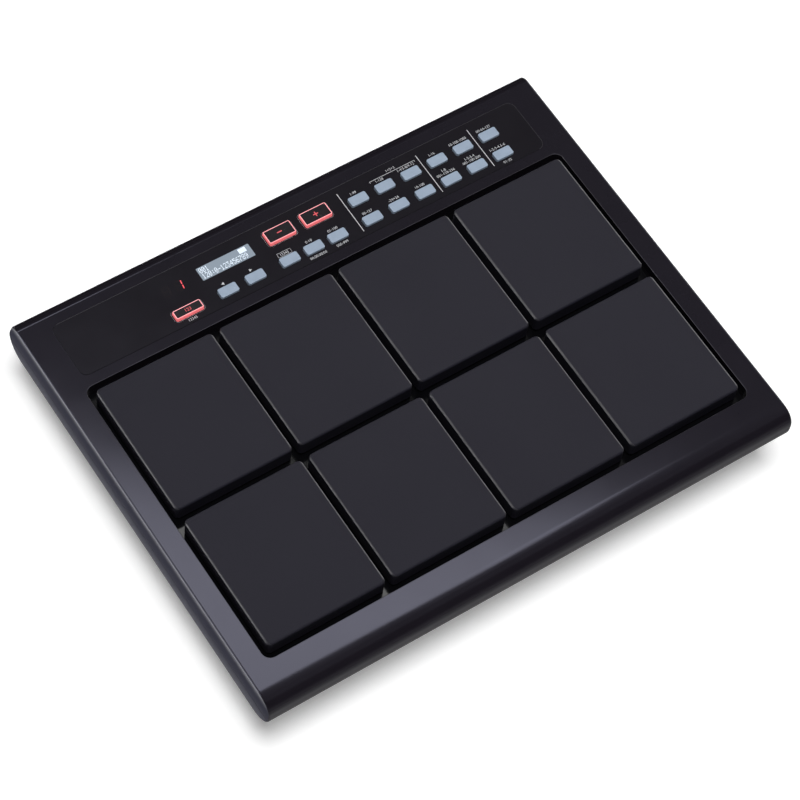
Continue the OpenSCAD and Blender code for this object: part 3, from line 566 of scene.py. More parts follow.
def slab(inset):
    """The case's whole form, drawn in by an inset: arcs joined by straight lines, from the heel's foot round
    over the top to the nose's foot, carried along X. A fine groove runs along the top's rear edge, where the
    mould parts. Each end has a rim: a soft bend, a narrow slope and a tighter bend on to the flat end."""
    groove = 0.045
    bends = [(back - heel_r, slab_low + heel_r, heel_r, 270, 379.7, 21),
             (back - 10, top - 7.3, 7.3, 19.7, 90, 12),
             (back - 10.45, top - groove, 0, 90, 90, 1), (back - 10.5, top, 0, 90, 90, 1),
             (front + 12.91, top - 24, 24, 90, 102, 5), (front + 10, top - 10.31, 10, 102, 180, 15),
             (front + nose_r, slab_low + nose_r, nose_r, 180, 270, 17)]
    soft = np.radians(np.linspace(0, 42, 4))
    tight = np.radians(np.linspace(48, 90, 4))
    out = np.append(0.95 * np.sin(soft), 0.834 + 0.3 * (np.sin(tight) - np.sin(tight[0])))
    down = np.append(0.95 * (1 - np.cos(soft)), 0.442 + 0.3 * (np.cos(tight[0]) - np.cos(tight)))
    end = [(case_half - inset - out[-1] + x, inset + d) for x, d in zip(out[::-1], down[::-1])]
    loops = []
    for x, drawn in [(-x, d) for x, d in end] + end[::-1]:
        arcs = []
        for y, z, radius, start, stop, count in bends:
            turn = np.radians(np.linspace(start, stop, count))
            arcs.append(np.column_stack([np.full(count, x), y + (radius - drawn) * np.cos(turn),
                                         z + (radius - drawn) * np.sin(turn)]))
        loops.append(np.concatenate(arcs))
    return loft(loops)


def seam_groove(up):
    """Ring that cuts a small slope on the shell's edge at the seam, upwards or downwards."""
    slope = 0.22
    nose_in, heel_in = [r - np.sqrt(r ** 2 - (slab_low + r - seam) ** 2) for r in (nose_r, heel_r)]
    near = seam - 0.1 * up
    far = seam + (slope + 0.1) * up
    rows = [(slope + 0.1, near), (-0.1, far), (-3, far), (-3, near)]
    return moulding(2 * case_half, back - heel_in - front - nose_in, 1.2, rows[::-1] if up > 0 else rows,
                    (0, (nose_in - heel_in) / 2), closed=True)


lower = form("lower_case_shell", slab(0))
carve(lower, block((-beyond, -beyond, 0), (beyond, beyond, seam)), "INTERSECT")
carve(lower, slab(wall))
carve(lower, joined(repeated(rod(pillar_r, pillar_low, bed_low, 48), side_places + end_places),
                    repeated(rod(boss_r, slab_low + 0.5, slab_low + 7.5, 48), flange_places)), "UNION")
carve(lower, block((-tray_half + sheet, tray_front + sheet, 20), (tray_half - sheet, tray_back - sheet, 36)))
carve(lower, joined(
    repeated(turned([(3.2, 20), (3.2, screw_seat), (screw_hole, screw_seat), (screw_hole, 60)]),
             side_places + end_places),
    repeated(rod(thread_r, 20, 36.9), flange_places)))
carve(lower, seam_groove(-1))


def faces_of(shape):
    """Normal and middle of each face of an object, one row each, the middles in millimetres."""
    flat = np.empty((2, len(shape.data.polygons) * 3), np.float32)
    shape.data.polygons.foreach_get("normal", flat[0])
    shape.data.polygons.foreach_get("center", flat[1])
    return flat[0].reshape(-1, 3), 1000 * flat[1].reshape(-1, 3)


def zoned(shape, zone, *materials):
    """Give faces of a dressed piece further materials: zone 0 keeps its own, 1 has the first of them."""
    for material in materials:
        shape.data.materials.append(material)
    shape.data.polygons.foreach_set("material_index", zone.astype(np.int32))


def rough_along(material, axis, *ramps):
    """Add to a finish's own roughness the lowest of some ramps along an axis, each from one place and
    roughness to another."""
    tree, shader, place = opened(material)
    rough = shader.inputs["Roughness"]
    along = add(tree, "SeparateXYZ", {}, {0: place})
    drawn = [ramp(tree, along.outputs[axis], (low / 1000, high / 1000), (first, last))
             for low, first, high, last in ramps]
    lowest = add(tree, "Math", {"operation": "MINIMUM"}, {0: drawn[0], 1: drawn[-1]})
    total = add(tree, "Math", {"operation": "ADD"}, {0: lowest.outputs[0], 1: rough.links[0].from_socket})
    tree.links.new(total.outputs[0], rough)


# Moulded ABS, finely etched: black with a slight violet cast, duller towards the foot of the nose.
shell_shades = ("#1a171d", "#1c191f")
etched_shell = grained("etched shell plastic", shell_shades, (0, 0.04), 30, 0.5, 0.003,
                       shine=0.09, tint="#ececff")
rough_along(etched_shell, "Z", (50, 0.48, 57, 0.2))
# The mould is polished for the flat top, which shows the lamp as a soft field that fades over the nose.
polished_shell = grained("polished shell plastic", shell_shades, (0.14, 0.17), 30, 0.6, 0.0008,
                         shine=0.42, tint="#e4e5ff")
rough_along(polished_shell, "Y", (front + 5, 0.05, front + 14, 0))
# The ends are etched along their middle, and the etch fades out towards the top rim and the foot.
etched_end = grained("etched shell ends", shell_shades, (0, 0.04), 30, 0.5, 0.003,
                     shine=0.11, tint="#ececff")
shader = etched_end.node_tree.nodes["Principled BSDF"]
shader.inputs["Sheen Weight"].default_value = 0.08
shader.inputs["Sheen Tint"].default_value = srgb("#c0c8ff")
rough_along(etched_end, "Z", (54, 0.86, 61.5, 0.08), (33.5, 0.4, 51.5, 0.86))
# The heel's upper curve is etched deepest and hardly shines.
dull_shell = grained("dull shell plastic", shell_shades, (0.8, 0.9), 30, 0.5, 0.003, shine=0.02)
# Below that curve the heel is satin, and its round shows as a soft step of light.
satin_heel = grained("satin shell heel", shell_shades, (0.3, 0.38), 30, 0.5, 0.003,
                     shine=0.24, tint="#ececff")
# The recess's rounded edge is painted paler: a painted highlight that shows as a thin line.
painted_rim_highlight = grained("painted rim highlight", ("#37353b", "#3d3b41"), (0.4, 0.5), 12, 0.5, 0.003)


def finish_shell(shape, node):
    """Dress a shell piece, with the polish on the flat top, the start of its curves and its rims, a painted
    highlight on the recess's rounded edge, and the ends' and heel's own finish. The groove's sides keep their
    own flat shading."""
    dress(shape, etched_shell, node=node)
    polished, flat_end, dull, rim_highlight, satin = range(1, 6)
    normals, middles = faces_of(shape)
    aside, rearward, upward = normals.T
    x, y, z = middles.T
    near_top = z > top - 1.6
    at_end = np.abs(x) > case_half - 1.05
    in_recess = (np.abs(x) < recess_w / 2 + 0.6) & (np.abs(y - recess_y) < recess_d / 2 + 0.6)
    raised = upward > 0.05
    heel = (rearward > 0.36) & (y > back - 11)
    zone = np.where(heel, np.where(upward > 0.3, dull, satin), 0)
    zone = np.where(at_end & (z < slab_low + 1.5), dull, zone)
    zone = np.where(near_top & ((upward > 0.88) & (rearward < 0.3) | at_end & raised), polished, zone)
    # Painted highlight: the recess's rounded edge gets the paler colour where it would catch the light.
    zone = np.where(near_top & in_recess & raised & (upward < 0.98), rim_highlight, zone)
    zone = np.where((np.abs(aside) > 0.97) & (np.abs(x) > case_half - 0.3), flat_end, zone)
    zoned(shape, zone, polished_shell, etched_end, dull_shell, painted_rim_highlight, satin_heel)
    groove_side = (np.abs(y - back + 10.25) < 0.15) & near_top & (rearward < -0.05)
    shape.data.polygons.foreach_set("use_smooth", ~groove_side)


finish_shell(lower, "lower_case")


# Pad bed, sensors and plates: a gloss black tray that closes the recess from below, with a round brass
# trigger disc and a sheet-steel plate under each pad.
# Polished moulded ABS: it mirrors the sky as small glints where the pads' corners meet.
bed_plastic = grained("gloss bed plastic", ("#060608", "#08080a"), (0.08, 0.16), 20, 1.0, 0.001, shine=0.3)
paint(bed_plastic, "pad_bed")
# Rolled brass: warm yellow, with fine lines across it.
brass = grained("rolled brass", ("#b08d42", "#c29d4f"), (0.25, 0.4), 4, 0.4, 0.004,
                metal=1.0, stretch=(1, 0.1, 1))
paint(brass, "trigger_sensors")
# Rolled steel sheet: grey, with lines along the rolling direction.
sheet_steel = grained("rolled steel sheet", ("#8d9094", "#a2a5a9"), (0.3, 0.45), 6, 0.5, 0.005,
                      metal=1.0, stretch=(0.06, 1, 1))
paint(sheet_steel, "pad_plates")


# Foam cushions: a die-cut sheet of closed-cell foam between each plate and its pad, which gives when the pad
# is struck. Its sides stand out a little, as cut foam does under load.
plate_top = 55
foam_top = 56.95
foam_w = 71.8
foam_d = 84.6
pad_centres = [middle_mm(f"pad_{k}")[:2] for k in range(1, 9)]
# Closed-cell foam: dark grey, with a skin of tiny cells.
foam = grained("closed-cell foam", ("#2c2c2f", "#3a3a3d"), (0.85, 0.95), 2.5, 0.7, 0.15, shine=0.2)
middle = (plate_top + foam_top) / 2
for k, centre in enumerate(pad_centres, 1):
    cushion = form(f"foam_cushion_{k}", moulding(foam_w, foam_d, 1.2, [
        (8, plate_top), (0.6, plate_top), *bend(0.6, middle, 0.55, 260, 100, 6), (0.6, foam_top - 0.02),
        (8, foam_top)], centre))
    dress(cushion, foam, node="pad_cushions")
    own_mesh(cushion)


# Pads: eight moulded rubber pads, each a slab with a skirt that hides the plate and foam. The top is very
# slightly crowned, and its edge is rounded over.
pad_low, pad_high = box_mm("pad_1")
pad_w, pad_d, _ = pad_high - pad_low
skirt = pad_low[2]
pad_top = pad_high[2]
pad_edge = 1.35
pad_wall = 3
crown = 0.15
crown_reach = 39
pad_under = 57
# Moulded rubber: matt dark grey, a fine grain that spreads the light, and faint paler areas from handling.
pad_rubber = grained("moulded pad rubber", ("#23222b", "#28272f"), (0.62, 0.75), 45, 0.9, 0.05, shine=0.25)
# Worn rubber on the side edges: smoother, and painted paler as a painted highlight that shows as a thin line.
worn_edge_highlight = grained("worn pad edge with painted highlight", ("#2a292f", "#302f35"), (0.3, 0.42), 12, 0.9, 0.01, shine=0.7)
for k, centre in enumerate(pad_centres, 1):
    rows = [(pad_wall, pad_under), (pad_wall, skirt + 0.3), (pad_wall - 0.3, skirt), (0.4, skirt),
            (0, skirt + 0.4)]
    rows += bend(pad_edge, pad_top - crown - pad_edge, pad_edge, 180, 90, 8)
    rows += [(inset, pad_top - crown * (1 - inset / crown_reach) ** 2) for inset in (4, 8, 14, 22, 30, 37)]
    pad = form(f"pad_{k}_rubber", moulding(pad_w, pad_d, 3, rows, centre))
    dress(pad, pad_rubber, f"pad_{k}", f"pad_{k}")
    normals = faces_of(pad)[0]
    # Painted highlight: only the side edges, which face the light, get the paler rubber.
    zoned(pad, (normals[:, 2] > 0.1) & (np.abs(normals[:, 0]) > 0.25), worn_edge_highlight)


# Top cover: the moulded shell above the seam, with the sunk recess for the pads, a shallow pocket for the
# overlay, and openings for the buttons. The recess has a wall all round, and bosses take the screws.
overlay_low, overlay_high = box_mm("control_overlay")
overlay_w, overlay_d, overlay_t = overlay_high - overlay_low
overlay_centre = middle_mm("control_overlay")[:2]
large_keys = ["mode_button", "minus_button", "plus_button"]
small_keys = ["left_button", "right_button", "shift_button", "exit_button", "enter_button"]
small_keys += [f"menu_button_{k}" for k in range(1, 13)]
key_lip = 1
key_gap = np.array([0.35, 0.65])
key_boxes = {key: box_mm(key) for key in large_keys + small_keys}
key_size = {key: (high - low)[:2] - 2 * key_lip for key, (low, high) in key_boxes.items()}
key_place = {key: middle_mm(key)[:2] for key in key_boxes}
key_round = 0.85
display_size = np.array([36.5, 9.4])
display_place = middle_mm("display_module")[:2]
digit_size = np.array([17.7, 13.3])
digit_place = middle_mm("digit_module")[:2]
panel_places = [(x, 103.9, 0) for x in (-72.825, -29.55, 29.0, 89.25, 147.5)]
panel_low, panel_top = [corner[2] for corner in box_mm("panel_board")]


def opening(size, radius, low, rim, centre):
    """Cutter for a hole from a level up through the top face: straight sides, and a rim that flares out in
    a quarter round so that the hole's edge is rounded over."""
    rows = [(0, low), *bend(-rim, top - rim, rim, 0, 90), (-rim, top + 3)]
    return moulding(*size, radius, rows, centre)


above_all = 90
through = [(0, 50), (0, 70)]
key_holes = [moulding(*(key_size[key] + 2 * key_gap), key_round + key_gap[0], through, key_place[key])
             for key in key_boxes]
hollow = form("hollow", slab(wall))
carve(hollow, moulding(recess_w + 2 * wall, recess_d + 2 * wall, recess_r + wall,
                       [(0, bed_top), (0, above_all)], (0, recess_y)))
carve(hollow, repeated(rod(boss_r, bed_top, above_all, 48), side_places))
carve(hollow, joined(repeated(rod(boss_r, bed_low, above_all, 48), end_places),
                     repeated(rod(3, panel_top, above_all, 48), panel_places)))
cover = form("top_cover_shell", slab(0))
carve(cover, block((-beyond, -beyond, seam), (beyond, beyond, 120)), "INTERSECT")
carve(cover, skin_of(hollow.data))
bpy.data.meshes.remove(hollow.data)
carve(cover, joined(
    opening((recess_w, recess_d), recess_r, 20, 0.35, (0, recess_y)),
    opening((overlay_w + 0.2, overlay_d + 0.2), 5, top - overlay_t, 0.1, overlay_centre)))
carve(cover, joined(
    *key_holes,
    moulding(*(display_size + 0.4), 1, through, display_place),
    moulding(*(digit_size + 0.4), 1, through, digit_place),
    repeated(rod(thread_r, bed_low - 1, 58.4), side_places + end_places),
    repeated(rod(thread_r, panel_low, 58.55), panel_places)))
carve(cover, seam_groove(1))
finish_shell(cover, "top_cover")


# Switches and displays: a board under the overlay carries a switch under each button, a backlit display and
# a two-digit lamp display. The faces of both stand in the cover's openings, right under the overlay.
paint(socket_nylon, "tact_switches")
# Smoked acrylic: almost black until a lamp behind it is lit.
smoked_acrylic = grained("smoked acrylic", ("#150d0f", "#191012"), (0.12, 0.2), 8, 0.8, 0.001)
paint(smoked_acrylic, "digit_module")
# Backlit display glass: pale blue-grey, lit evenly from behind with a faint cloudiness.
display_glass = grained("backlit display glass", ("#3d444b", "#434a51"), (0.12, 0.18), 9, 0.8, 0.0005,
                        glow=("#a9b7c6", 0.6))
paint(display_glass, "display_module")


# Control overlay: a printed polyester film in the pocket, with die-cut openings for the buttons and a clear
# window over the display, which shows as a lit pane. It is stuck down all over.
overlay = form("control_overlay_film", moulding(overlay_w, overlay_d, 5, [
    (0, overlay_low[2]), (0, top - 0.06), (0.06, top)], overlay_centre))
carve(overlay, joined(*key_holes, moulding(*display_size, 0.6, through, display_place)))
# Printed polyester film: velvet black, a touch more violet than the case.
overlay_film = grained("printed polyester film", ("#1c1a1e", "#1e1c20"), (0.18, 0.22), 22, 0.5, 0.0008,
                       shine=0.2, tint="#e4e5ff")
dress(overlay, overlay_film, node="control_overlay")
# The film's edge line is painted paler along the back and at the right end: a painted highlight.
painted_edge_highlight = grained("film edge painted highlight", ("#2d2b30", "#343237"), (0.4, 0.5), 6, 0.5, 0.0005)
edge_line = moulding(overlay_w, overlay_d, 5, [(0, top - 0.05), (0, top + 0.005), (0.2, top + 0.005),
                                               (0.2, top - 0.05)], overlay_centre, closed=True)
# In the pocket's shadow the line is dark; it is pale only along the back and at the right end.
edge_shade = grained("shaded film edge", ("#100e11", "#131114"), (0.5, 0.6), 6, 0.5, 0.0005, shine=0.1)
edging = dress(form("overlay_cut_edge", edge_line), edge_shade)
middles = faces_of(edging)[1]
# Painted highlight along the back and at the right end; painted shade on the rest of the ring.
zoned(edging, (middles[:, 0] > overlay_high[0] - 6) | (middles[:, 1] > overlay_high[1] - 0.5), painted_edge_highlight)
surround = 1.15
rings = [moulding(*(key_size[key] + 2 * surround), key_round + surround, [
    (0, top - 0.02), (0, top + 0.008), (0.08, top + 0.008), (0.08, top - 0.02)], key_place[key], closed=True)
    for key in large_keys]
dress(form("key_surrounds", joined(*rings)), pale_ink)
pane = form("display_pane", moulding(*(display_size - 0.04), 0.58, [(0, overlay_low[2]), (0, top - 0.03)],
                                     display_place))
dress(pane, display_glass, node="control_overlay")


# Display figures: rows of five-by-seven dots on the backlit display, and a lit bar figure behind the smoked
# window beside the unlit bars of two digits. Each dot or bar is a thin flat solid on its pane.
dot_rows = {"0": "0E 11 13 15 19 11 0E", "1": "04 0C 04 04 04 04 0E", "2": "0E 11 01 02 04 08 1F",
            "3": "1F 02 04 02 01 11 0E", "4": "02 06 0A 12 1F 02 02", "5": "1F 10 1E 01 01 11 0E",
            "6": "06 08 10 1E 11 11 0E", "7": "1F 01 02 04 08 08 08", "8": "0E 11 11 0E 11 11 0E",
            "9": "0E 11 11 0F 01 02 0C", ":": "00 04 04 00 04 04 00", "-": "00 00 00 1F 00 00 00"}
dot_x = 0.352
dot_y = 0.53
lines = ["001", "120:0-123456789"]
dots = [(column * dot_x * 6 + (4 - bit) * dot_x, -(line * 8 + row) * dot_y)
        for line, words in enumerate(lines) for column, letter in enumerate(words)
        for row, code in enumerate(dot_rows[letter].split()) for bit in range(5) if int(code, 16) >> bit & 1]
corner = display_place + display_size * (-0.5, 0.5) + (1.3, -0.85)
dot = block((-0.17, -0.25, top - 0.03), (0.17, 0.25, top - 0.01))
dot_skin = repeated(dot, [(*(corner + offset), 0) for offset in np.array(dots)])
badge = moulding(5.0, 3.4, 0.2, [(0, top - 0.03), (0, top - 0.01)], display_place + (12.8, 2.3))
# Lit liquid crystal: white light let through clear dots.
lit_dots = grained("lit display dots", ("#8a8f94", "#94999e"), (0.2, 0.3), 3, 0.5, 0.0005,
                   glow=("#e4f1ff", 0.85))
dress(form("display_dots", joined(dot_skin, badge)), lit_dots)

bar_w = 0.7
bar_l = 3.0
lean = 0.12
upright_bars = [(side * 2.0, half * 1.65) for side in (-1, 1) for half in (-1, 1)]
level_bars = [(0, row * 3.3) for row in (-1, 0, 1)]


def bars(places, upright, centre):
    """Lamp bars of a leaning figure: pointed strips about their places, sheared by the lean."""
    length = np.array([-0.5, -0.36, 0.36, 0.5, 0.36, -0.36]) * bar_l
    width = np.array([0, -0.5, -0.5, 0, 0.5, 0.5]) * bar_w
    ring = np.column_stack([-width, length] if upright else [length, width])
    skins = []
    for place in places:
        flat = ring + np.array(place)
        flat[:, 0] += lean * flat[:, 1]
        skins.append(plate(flat + centre, top, top + 0.02))
    return skins


left_digit = digit_place + (-3.8, -0.4)
right_digit = digit_place + (5.0, -0.4)
unlit = bars(upright_bars, True, left_digit) + bars(level_bars, False, left_digit)
unlit += bars(upright_bars[:2], True, right_digit) + bars(level_bars, False, right_digit)
# Unlit lamp bars: just visible through the smoked window.
unlit_bar = grained("unlit lamp bar", ("#1e191d", "#201b1f"), (0.2, 0.24), 5, 0.5, 0.0005, shine=0.27)
dress(form("digit_bars_unlit", joined(*unlit)), unlit_bar)
# Lit lamp bars: a red glow with a paler heart.
lit_bar = grained("lit red lamp bar", ("#a03038", "#b03a42"), (0.3, 0.4), 3, 0.5, 0.0005,
                  glow=("#ff5a62", 0.75))
dress(form("digit_bars_lit", joined(*bars(upright_bars[2:], True, right_digit))), lit_bar)


# Overlay print: plain numbers, arrows and dividing lines in pale ink, screened on the film over and beside
# the buttons. Each mark is a thin flat solid on the film's face.


def above(key, gap=3.15):
    """Place for a mark behind a key."""
    return key_place[key] + np.array([0, key_size[key][1] / 2 + gap])


def below(key, gap=2.9):
    """Place for a mark in front of a key."""
    return key_place[key] - np.array([0, key_size[key][1] / 2 + gap])


letter_h = 1.75
second_line = 2.35
menu_words = ["1-99", "1-128", "1-4/5-8/9-12", "1-16", "10-100-1000", "00-64-127", "00-127", "-24+24",
              "10-100", "001-128-256", "001-100-200", "1-2-3-4-5-6"]
over_keys = {"exit_button": "0-10", "enter_button": "01-100", "shift_button": "12345"}
over_keys.update({f"menu_button_{k}": words for k, words in enumerate(menu_words, 1)})
higher_keys = {"menu_button_10": "1-8", "menu_button_11": "1-2-3-4"}
under_keys = {"exit_button": "00:00:00:00", "enter_button": "000-999", "mode_button": "12345",
              "menu_button_12": "01-32"}
marks = [arrow(above("left_button"), 1.2, 180), arrow(above("right_button"), 1.2, 0)]
marks += [figures(words, letter_h, above(key)) for key, words in over_keys.items()]
marks += [figures(words, letter_h, above(key) + (0, second_line)) for key, words in higher_keys.items()]
marks += [figures(words, letter_h, below(key)) for key, words in under_keys.items()]
marks += [figures("1+2+3", letter_h, (70.6, 122.5))]
frame_half = np.array([4.6, 1.5])
frame_corners = [above("shift_button") + frame_half * s for s in [(-1, -1), (1, -1), (1, 1), (-1, 1)]]
marks += [stroke(frame_corners[k], frame_corners[(k + 1) % 4], 0.18) for k in range(4)]
marks += [stroke((x, 92.3), (x, 123.2), 0.45) for x in (32.4, 89.6, 127.7)]
brace_ends = (54.5, 86.9)
brace_y = 120.6
marks += [stroke((brace_ends[0], brace_y), (brace_ends[1], brace_y), 0.3)]
marks += [stroke((x, brace_y), (x, brace_y - 1), 0.3) for x in brace_ends]
dress(form("overlay_marks", repeated(joined(*marks), [(0, 0, top)])), pale_ink)


# Buttons: moulded caps with a lip that holds them under the cover and a stem that stands on a switch. The
# small ones are soft grey with round edges; the large ones are clear red with a rim round a black face.
lip_top = 59.45
# Above its lip a cap is a little larger than its outline, and a small one sits a little to the right.
small_spread = np.array([0, 0.54])
small_shift = np.array([0.15, 0])
large_spread = np.array([0.25, 0.55])


def key_loops(key, profile, place):
    """Loops of a button from its stem up: a round stem, the lip, then the cap's own profile of insets and
    levels round its outline."""
    low = key_boxes[key][0][2]
    stem_r = 1.4
    rows = [rounded_loop(2 * stem_r, 2 * stem_r, stem_r, level, key_place[key])
            for level in (low, lip_top - 1)]
    rows += [rounded_loop(*(key_size[key] + 2 * key_lip), key_round, level, key_place[key])
             for level in (lip_top - 1, lip_top)]
    rows += [rounded_loop(*(key_size[key] - 2 * inset), max(key_round - np.mean(inset), 0.25), level, place)
             for inset, level in profile]
    return rows


# Soft-touch grey plastic: pale blue-grey with a fine matt skin, and a faint painted glow that lightens its
# sides.
grey_plastic_painted_glow = grained("soft grey plastic", ("#92a1b4", "#9aa9bc"), (0.45, 0.55), 5, 0.5, 0.01,
                       glow=("#96a6b8", 0.12))
for key in small_keys:
    rise = key_boxes[key][1][2]
    profile = [(0, lip_top), *bend(0.25, rise - 0.25, 0.25, 180, 90), (1.85, rise - 0.03)]
    profile = [(inset - small_spread, level) for inset, level in profile]
    cap = form(f"{key}_cap", loft(key_loops(key, profile, key_place[key] + small_shift)))
    # The glow on these caps is painted light, not a lamp.
    dress(cap, grey_plastic_painted_glow, key, key)

# Clear red plastic lit from below: its sides and rim glow pink, its face is painted over in black.
red_plastic = grained("lit red plastic", ("#d4555a", "#dc5f63"), (0.25, 0.35), 6, 0.8, 0.005,
                      glow=("#d2686b", 0.9))
# Black paint on the face, with the satin of the overlay.
face_paint = grained("black face paint", ("#201d21", "#232024"), (0.22, 0.28), 4, 0.5, 0.001, shine=0.3)
# Red ink that the lamp below shines through.
red_ink = grained("red face ink", ("#b8484f", "#c25058"), (0.4, 0.5), 2, 0.4, 0.002, glow=("#e0575c", 0.45))
# The rim's upward faces glow paler: the light from below, with a painted highlight on top.
rim_glow_and_highlight = grained("glowing red rim painted highlight", ("#d98a8e", "#e09296"), (0.25, 0.35), 6, 0.8, 0.005,
                   glow=("#e69aa0", 0.9))
rim = 0.4
arm = 1.7
sign_w = 0.7
dash = stroke((-arm, 0), (arm, 0), sign_w)
uprights = [stroke((0, low), (0, high), sign_w) for low, high in [(0.36, arm), (-arm, -0.36)]]
signs = {"minus_button": dash, "plus_button": joined(dash, *uprights),
         "mode_button": figures("123", 2.2, (0, 0))}
for key in large_keys:
    rise = key_boxes[key][1][2]
    profile = [(-large_spread, lip_top), (-large_spread, top + 0.2),
               *bend(0.2, rise - 0.37, 0.32, 180, 90, 4), (rim, rise - 0.07), (rim + 0.5, rise - 0.1)]
    cap = form(f"{key}_cap", loft(key_loops(key, profile, key_place[key])))
    dress(cap, red_plastic, key, key)
    normals, middles = faces_of(cap)
    # Painted highlight: the rim's upward faces are paler than the cap's sides.
    zoned(cap, (normals[:, 2] > 0.7) & (middles[:, 2] > top), rim_glow_and_highlight)
    face = form(f"{key}_face", moulding(*(key_size[key] - 2 * rim), 0.5, [
        (0.05, rise - 0.3), (0.05, rise - 0.06), (0.12, rise)], key_place[key]))
    dress(face, face_paint, key)
    sign = repeated(signs[key], [(*key_place[key], rise)])
    dress(form(f"{key}_sign", sign), red_ink, key)


# Screws: cross-recessed pan heads in black zinc. Long ones go up through the lower case into the cover, short
# ones hold the tray, the boards and the rear panel.


def screw(length):
    """One screw with its seat at level 0 and its head below: a turned pan head and a waved shank, with a
    cross cut into the head."""
    head = [(0.6, -2), (2.1, -2), (2.55, -1.85), (2.75, -1.5), (2.8, -1.1), (2.8, 0), (1.5, 0)]
    shank = [(1.5 - 0.15 * (k % 2), 0.5 + 0.35 * k) for k in range(int((length - 1.2) / 0.35))]
    shape = form("screw", turned(head + shank + [(0.9, length)], count=24))
    for turn in (0, 1):
        size = (3.2, 0.7) if turn else (0.7, 3.2)
        carve(shape, moulding(*size, 0.15, [(-0.05, -3), (0, -2), (0.2, -1)]))
    skin = skin_of(shape.data)
    bpy.data.meshes.remove(shape.data)
    return skin


def at_level(places, level):
    """The same places at a level."""
    return np.array(places, float) + (0, 0, level)


# Black zinc on steel: dark grey metal with a dull shine.
black_zinc = grained("black zinc", ("#3a3b3e", "#4a4b4f"), (0.35, 0.5), 2, 0.4, 0.004, metal=1.0)
case_set = form("case_screw_set", repeated(screw(18), at_level(side_places + end_places, screw_seat)))
dress(case_set, black_zinc, node="case_screws")
short = screw(6)
turned_over = (short[0] * np.array([1, -1, -1]), short[1])
small_set = form("small_screw_set", joined(
    repeated(short, at_level(flange_places, flange_low)), repeated(short, at_level(rear_places, tray_low[2])),
    repeated(short, at_level(panel_places, panel_low)),
    repeated(turned_over, at_level(standoff_places, board_top))))
dress(small_set, black_zinc, node="small_screws")


# Studio: a wide white paper floor, a large soft lamp overhead, a strip lamp above the back right that the
# flat top mirrors, a dim room with a pale panel on each side, and the camera where the photograph's stood.
reach = 60000
floor = form("floor", block((-reach, -reach, -20), (reach, reach, 0)))
# Matt white paper, lit a little from below for the camera and in reflections, so that the shadow stays light.
paper = grained("white paper", ("#f7f7f7", "#fafafa"), (0.9, 1.0), 400, 60, 0.001, shine=0.0)
tree = paper.node_tree
ray = add(tree, "LightPath", {}, {})
seen = ray.outputs["Is Camera Ray"]
for kind in ("Is Glossy Ray", "Is Transmission Ray"):
    seen = add(tree, "Math", {"operation": "ADD"}, {0: seen, 1: ray.outputs[kind]}).outputs[0]
under = add(tree, "Math", {"operation": "MULTIPLY", 1: 0.27}, {0: seen})
tree.links.new(under.outputs[0], tree.nodes["Principled BSDF"].inputs["Emission Strength"])
floor.data.materials.append(paper)


def hang(name, kind, across, toward, place):
    """New lamp that shines against the direction it faces away from, its width along another one."""
    lamp = shown(name, bpy.data.lights.new(name, kind))
    toward = np.array(toward) / np.linalg.norm(toward)
    across = np.array(across) - toward * np.dot(across, toward)
    across = across / np.linalg.norm(across)
    turned_so = np.column_stack([across, np.cross(toward, across), toward, np.array(place) / 1000])
    lamp.matrix_world = Matrix(np.vstack([turned_so, [0, 0, 0, 1]]).tolist())
    lamp.visible_camera = False
    return lamp


overhead = hang("overhead_lamp", "SUN", (1, 0, 0), (-0.07, -0.15, 0.985), (0, 0, 3000))
overhead.data.energy = 2.45
overhead.data.angle = np.radians(24)
overhead.visible_glossy = False
strip_across = np.array([0.612, 0.791, 0])
strip_along = np.array([-0.791, 0.612, 0])
strip_place = 311 * strip_across + 93 * strip_along + (0, 0, 1062)
strip = hang("strip_lamp", "AREA", strip_across, (0, 0, 1), strip_place)
strip.data.shape = "RECTANGLE"
strip.data.size = 0.292
strip.data.size_y = 0.81
strip.data.energy = 3.35
strip.visible_diffuse = False

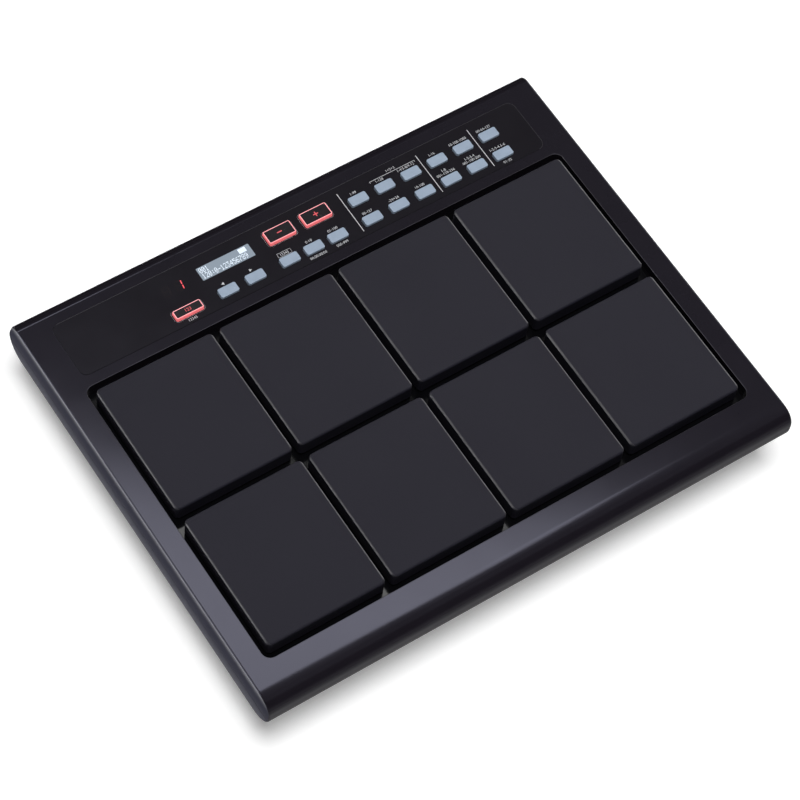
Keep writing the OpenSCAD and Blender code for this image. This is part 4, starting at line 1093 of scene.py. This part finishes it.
world = bpy.data.worlds.new("room")
bpy.context.scene.world = world
world.use_nodes = True
tree = world.node_tree
room = tree.nodes["Background"]
sky = add(tree, "TexCoord", {}, {})
height = add(tree, "SeparateXYZ", {}, {0: sky.outputs["Generated"]})
horizon = ramp(tree, height.outputs["Z"], (0.0, 0.1), (0.5, 0.04), "SMOOTHSTEP")
ceiling = ramp(tree, height.outputs["Z"], (0.64, 0.77), (0.0, 0.16))
total = add(tree, "Math", {"operation": "ADD"}, {0: horizon, 1: ceiling})
ray = add(tree, "LightPath", {}, {})
side_panels = [((-0.88, 0.4, 0.25), 8, 0.965, 0.99), ((0.81, 0.38, 0.44), 5, 0.94, 0.985)]
for middle, level, outer, inner in side_panels:
    near = add(tree, "VectorMath", {"operation": "DOT_PRODUCT", 1: middle}, {0: sky.outputs["Generated"]})
    panel = ramp(tree, near.outputs["Value"], (outer, inner), (0, level), "SMOOTHSTEP")
    mirrored = add(tree, "Math", {"operation": "MULTIPLY"}, {0: panel, 1: ray.outputs["Is Glossy Ray"]})
    total = add(tree, "Math", {"operation": "ADD"}, {0: total.outputs[0], 1: mirrored.outputs[0]})
tree.links.new(total.outputs[0], room.inputs["Strength"])
room.inputs["Color"].default_value = srgb("#ffffff")

camera_place = np.array([-591.589, -682.754, 1562.431])
azimuth, elevation, roll = np.radians([-40.9974, 59.5567, 9.1447])
backward = np.array([np.sin(azimuth) * np.cos(elevation), -np.cos(azimuth) * np.cos(elevation),
                     np.sin(elevation)])
level_right = np.array([np.cos(azimuth), np.sin(azimuth), 0])
right = np.cos(roll) * level_right + np.sin(roll) * np.cross(backward, level_right)
view = np.column_stack([right, np.cross(backward, right), backward, camera_place / 1000])
camera = shown("camera", bpy.data.cameras.new("camera"))
camera.matrix_world = Matrix(np.vstack([view, [0, 0, 0, 1]]).tolist())
camera.data.sensor_width = 36
camera.data.lens = 134.219
camera.data.clip_end = 200
bpy.context.scene.camera = camera
bpy.context.scene.view_settings.view_transform = "Standard"

bpy.context.view_layer.update()
